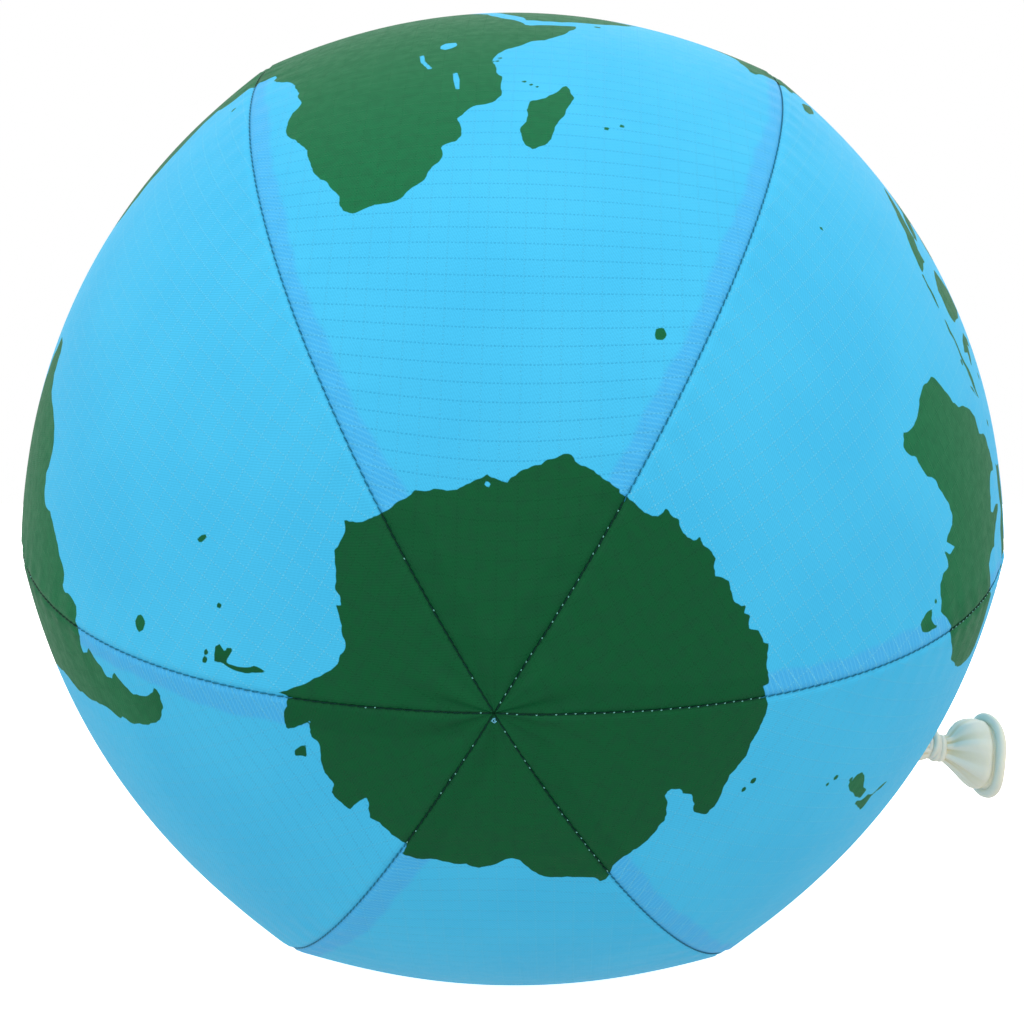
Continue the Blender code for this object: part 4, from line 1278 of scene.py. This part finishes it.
# The flared end's outline, (distance along the neck, radius) above and below the axis.
TAIL_ABOVE = (
    (0.0122, 0.0005), (0.0128, 0.0027), (0.0147, 0.0038), (0.0159, 0.0056), (0.0172, 0.0071),
    (0.0190, 0.0082), (0.0210, 0.0088), (0.0224, 0.0090), (0.0232, 0.0089), (0.0238, 0.0083),
    (0.0244, 0.0084), (0.0250, 0.0097),
)
TAIL_BELOW = (
    (0.0122, 0.0005), (0.0128, 0.0027), (0.0140, 0.0034), (0.0160, 0.0046), (0.0184, 0.0063),
    (0.0208, 0.0081), (0.0228, 0.0094), (0.0240, 0.0097), (0.0247, 0.0094), (0.0252, 0.0087),
    (0.0258, 0.0089), (0.0264, 0.0102),
)


def through(outline, share):
    """The point a share of the way through an outline's points, rounded between them."""
    points = np.array(outline)
    spot = share * (len(points) - 1)
    first = min(int(spot), len(points) - 2)
    local = spot - first
    before, start = points[max(0, first - 1)], points[first]
    end, after = points[first + 1], points[min(len(points) - 1, first + 2)]
    bend = (2 * before - 5 * start + 4 * end - after) * local**2
    twist = (3 * start - before - 3 * end + after) * local**3
    return (2 * start + (end - before) * local + bend + twist) / 2


def pleat(angle, share):
    """How the flared end gathers into pleats towards the knot, from -1 in a crease to 1."""
    wander = 0.9 * math.sin(2 * angle + 1.0) + 0.5 * math.sin(3 * angle + 2.5 * share)
    return 0.75 * math.sin(PLEATS * angle + wander) + 0.25 * math.sin(2 * PLEATS * angle - 2 * wander)


def rim_wave(angle):
    """How far the rim of the flared end waves forward, the same for its bead."""
    return RIM_WAVE * math.sin(3 * angle + 1)


def pleated_tail():
    """The flared end of the neck, gathered by the knot into pleats that fade towards its rim."""
    shares = np.linspace(0, 1, TAIL_RINGS)
    outlines = [(through(TAIL_ABOVE, share), through(TAIL_BELOW, share)) for share in shares]

    def gathered(ring, angle):
        above, below = outlines[ring]
        upper = float(smooth_step(0.5 + 0.5 * math.cos(angle - UPWARD)))
        along, radius = upper * above + (1 - upper) * below
        share = ring / (TAIL_RINGS - 1)
        fold = pleat(angle, share)
        fade = math.exp(-((share / PLEAT_REACH) ** 2))
        crease = float(smooth_step(-fold / 0.8)) * fade
        reach = radius * (1 + 0.17 * fold * fade + 0.012 * fold)
        return reach, along + rim_wave(angle) * share, 0.9 * crease

    item = latex_skin("pleated_tail", range(TAIL_RINGS), gathered, sides=260)
    thicken(item, "latex", TAIL_THICKNESS)
    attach(item, "tail")
    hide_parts("balloon_tail")


def rolled_lip():
    """The bead rolled from the latex's own edge, with the groove that joins it to the flared end."""

    def rolled(step, angle):
        turn = 2 * math.pi * step / BEAD_SIDES
        swell = 1 + 0.05 * math.sin(2 * angle + 0.5) + 0.03 * math.sin(5 * angle)
        upward = math.cos(angle - UPWARD)
        spread = LIP_RADIUS * (1 + 0.012 * math.sin(3 * angle)) - LIP_DROP * upward
        sway = rim_wave(angle) - LIP_TILT * upward
        across, ahead = BEAD_HEIGHT * swell * math.cos(turn), BEAD_WIDTH * swell * math.sin(turn)
        return spread + across, LIP_CENTRE + ahead + sway, 0.0

    item = latex_skin("rolled_lip", range(BEAD_SIDES + 1), rolled, sides=160)
    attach(item, "tail")
    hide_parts("balloon_lip")


def dress_balloon():
    """The inflated balloon keeps its shape and takes the latex."""
    body = frame["nodes"]["balloon_body"]
    body.data.materials.clear()
    body.data.materials.append(LATEX_MATERIAL)


# The stage.

CAMERA_DISTANCE = 5.4 * RADIUS
CAMERA_LENS = 89.5
AIM_DOWN = 0.40
AIM_LEFT = 0.038
FLOOR_SIZE = 30.0
FLOOR_LEVEL = -0.0001
FLOOR_GLOW = 0.93
LIGHT_FROM_BELOW = 0.67
LIGHT_FROM_ABOVE = 1.21
SOFTBOXES = (  # name, place from the ball's centre, size and power
    ("top_softbox", (0.05, -0.35, 1.35), 1.3, 2.0),
    ("front_softbox", (-0.5, -1.7, 0.55), 1.2, 2.0),
    ("back_softbox", (0.4, 1.6, 0.7), 1.2, 1.5),
)


def add_floor():
    """A plain floor, pale enough to run into the white behind it."""
    mesh = bpy.data.meshes.new("floor")
    sides = ((-1, -1), (1, -1), (1, 1), (-1, 1))
    corners = [(x * FLOOR_SIZE, y * FLOOR_SIZE, FLOOR_LEVEL) for x, y in sides]
    mesh.from_pydata(corners, [], [(0, 1, 2, 3)])
    item = new_object("floor", mesh)
    item.visible_diffuse = False
    item.visible_glossy = False
    nodes = Nodes("pale_floor")
    nodes.shade("Base Color", (0.92, 0.92, 0.92, 1))
    nodes.shade("Roughness", 0.9)
    nodes.shade("Emission Color", (1, 1, 1, 1))
    nodes.shade("Emission Strength", FLOOR_GLOW)
    mesh.materials.append(nodes.material)


def add_light(name, offset, size, power):
    lamp = bpy.data.lights.new(name, "AREA")
    lamp.shape = "DISK"
    lamp.size = size
    lamp.energy = power
    item = new_object(name, lamp)
    item.location = CENTRE + Vector(offset)
    item.rotation_euler = (-Vector(offset)).to_track_quat("-Z", "Y").to_euler()


def add_camera():
    camera = bpy.data.cameras.new("camera")
    camera.sensor_width = 36.0
    camera.lens = CAMERA_LENS
    camera.clip_start = 0.01
    camera.clip_end = 100.0
    item = new_object("camera", camera)
    item.location = CENTRE + Vector((0, -CAMERA_DISTANCE, 0))
    item.rotation_euler = (math.radians(90 - AIM_DOWN), 0, math.radians(AIM_LEFT))
    bpy.context.scene.camera = item


def light_world():
    """White behind the ball, and on the ball a soft light that grows from below to above."""
    world = bpy.data.worlds.new("studio")
    world.use_nodes = True
    tree = world.node_tree
    direction = tree.nodes.new("ShaderNodeSeparateXYZ")
    tree.links.new(tree.nodes.new("ShaderNodeTexCoord").outputs["Generated"], direction.inputs[0])
    height = tree.nodes.new("ShaderNodeMapRange")
    height.inputs["From Min"].default_value = -1.0
    height.inputs["To Min"].default_value = LIGHT_FROM_BELOW
    height.inputs["To Max"].default_value = LIGHT_FROM_ABOVE
    tree.links.new(direction.outputs["Z"], height.inputs["Value"])
    seen = tree.nodes.new("ShaderNodeMapRange")
    tree.links.new(tree.nodes.new("ShaderNodeLightPath").outputs["Is Camera Ray"], seen.inputs["Value"])
    tree.links.new(height.outputs["Result"], seen.inputs["To Min"])
    tree.links.new(seen.outputs["Result"], tree.nodes["Background"].inputs["Strength"])
    tree.nodes["Background"].inputs["Color"].default_value = (1, 1, 1, 1)
    bpy.context.scene.world = world


def set_stage():
    add_floor()
    for softbox in SOFTBOXES:
        add_light(*softbox)
    add_camera()
    light_world()
    bpy.context.scene.view_settings.view_transform = "Standard"


def build():
    for gore in (0, 1, 3, 4, 5):
        whole_gore(gore)
    flap_stitches()
    southern_panel()
    northern_panel()
    for seam in range(6):
        seam_stitches(seam)
    pole_knot("south_pole_thread", -1)
    pole_knot("north_pole_thread", 1)
    tied_neck()
    wrapped_knot()
    pleated_tail()
    rolled_lip()
    dress_balloon()
    set_stage()


build()
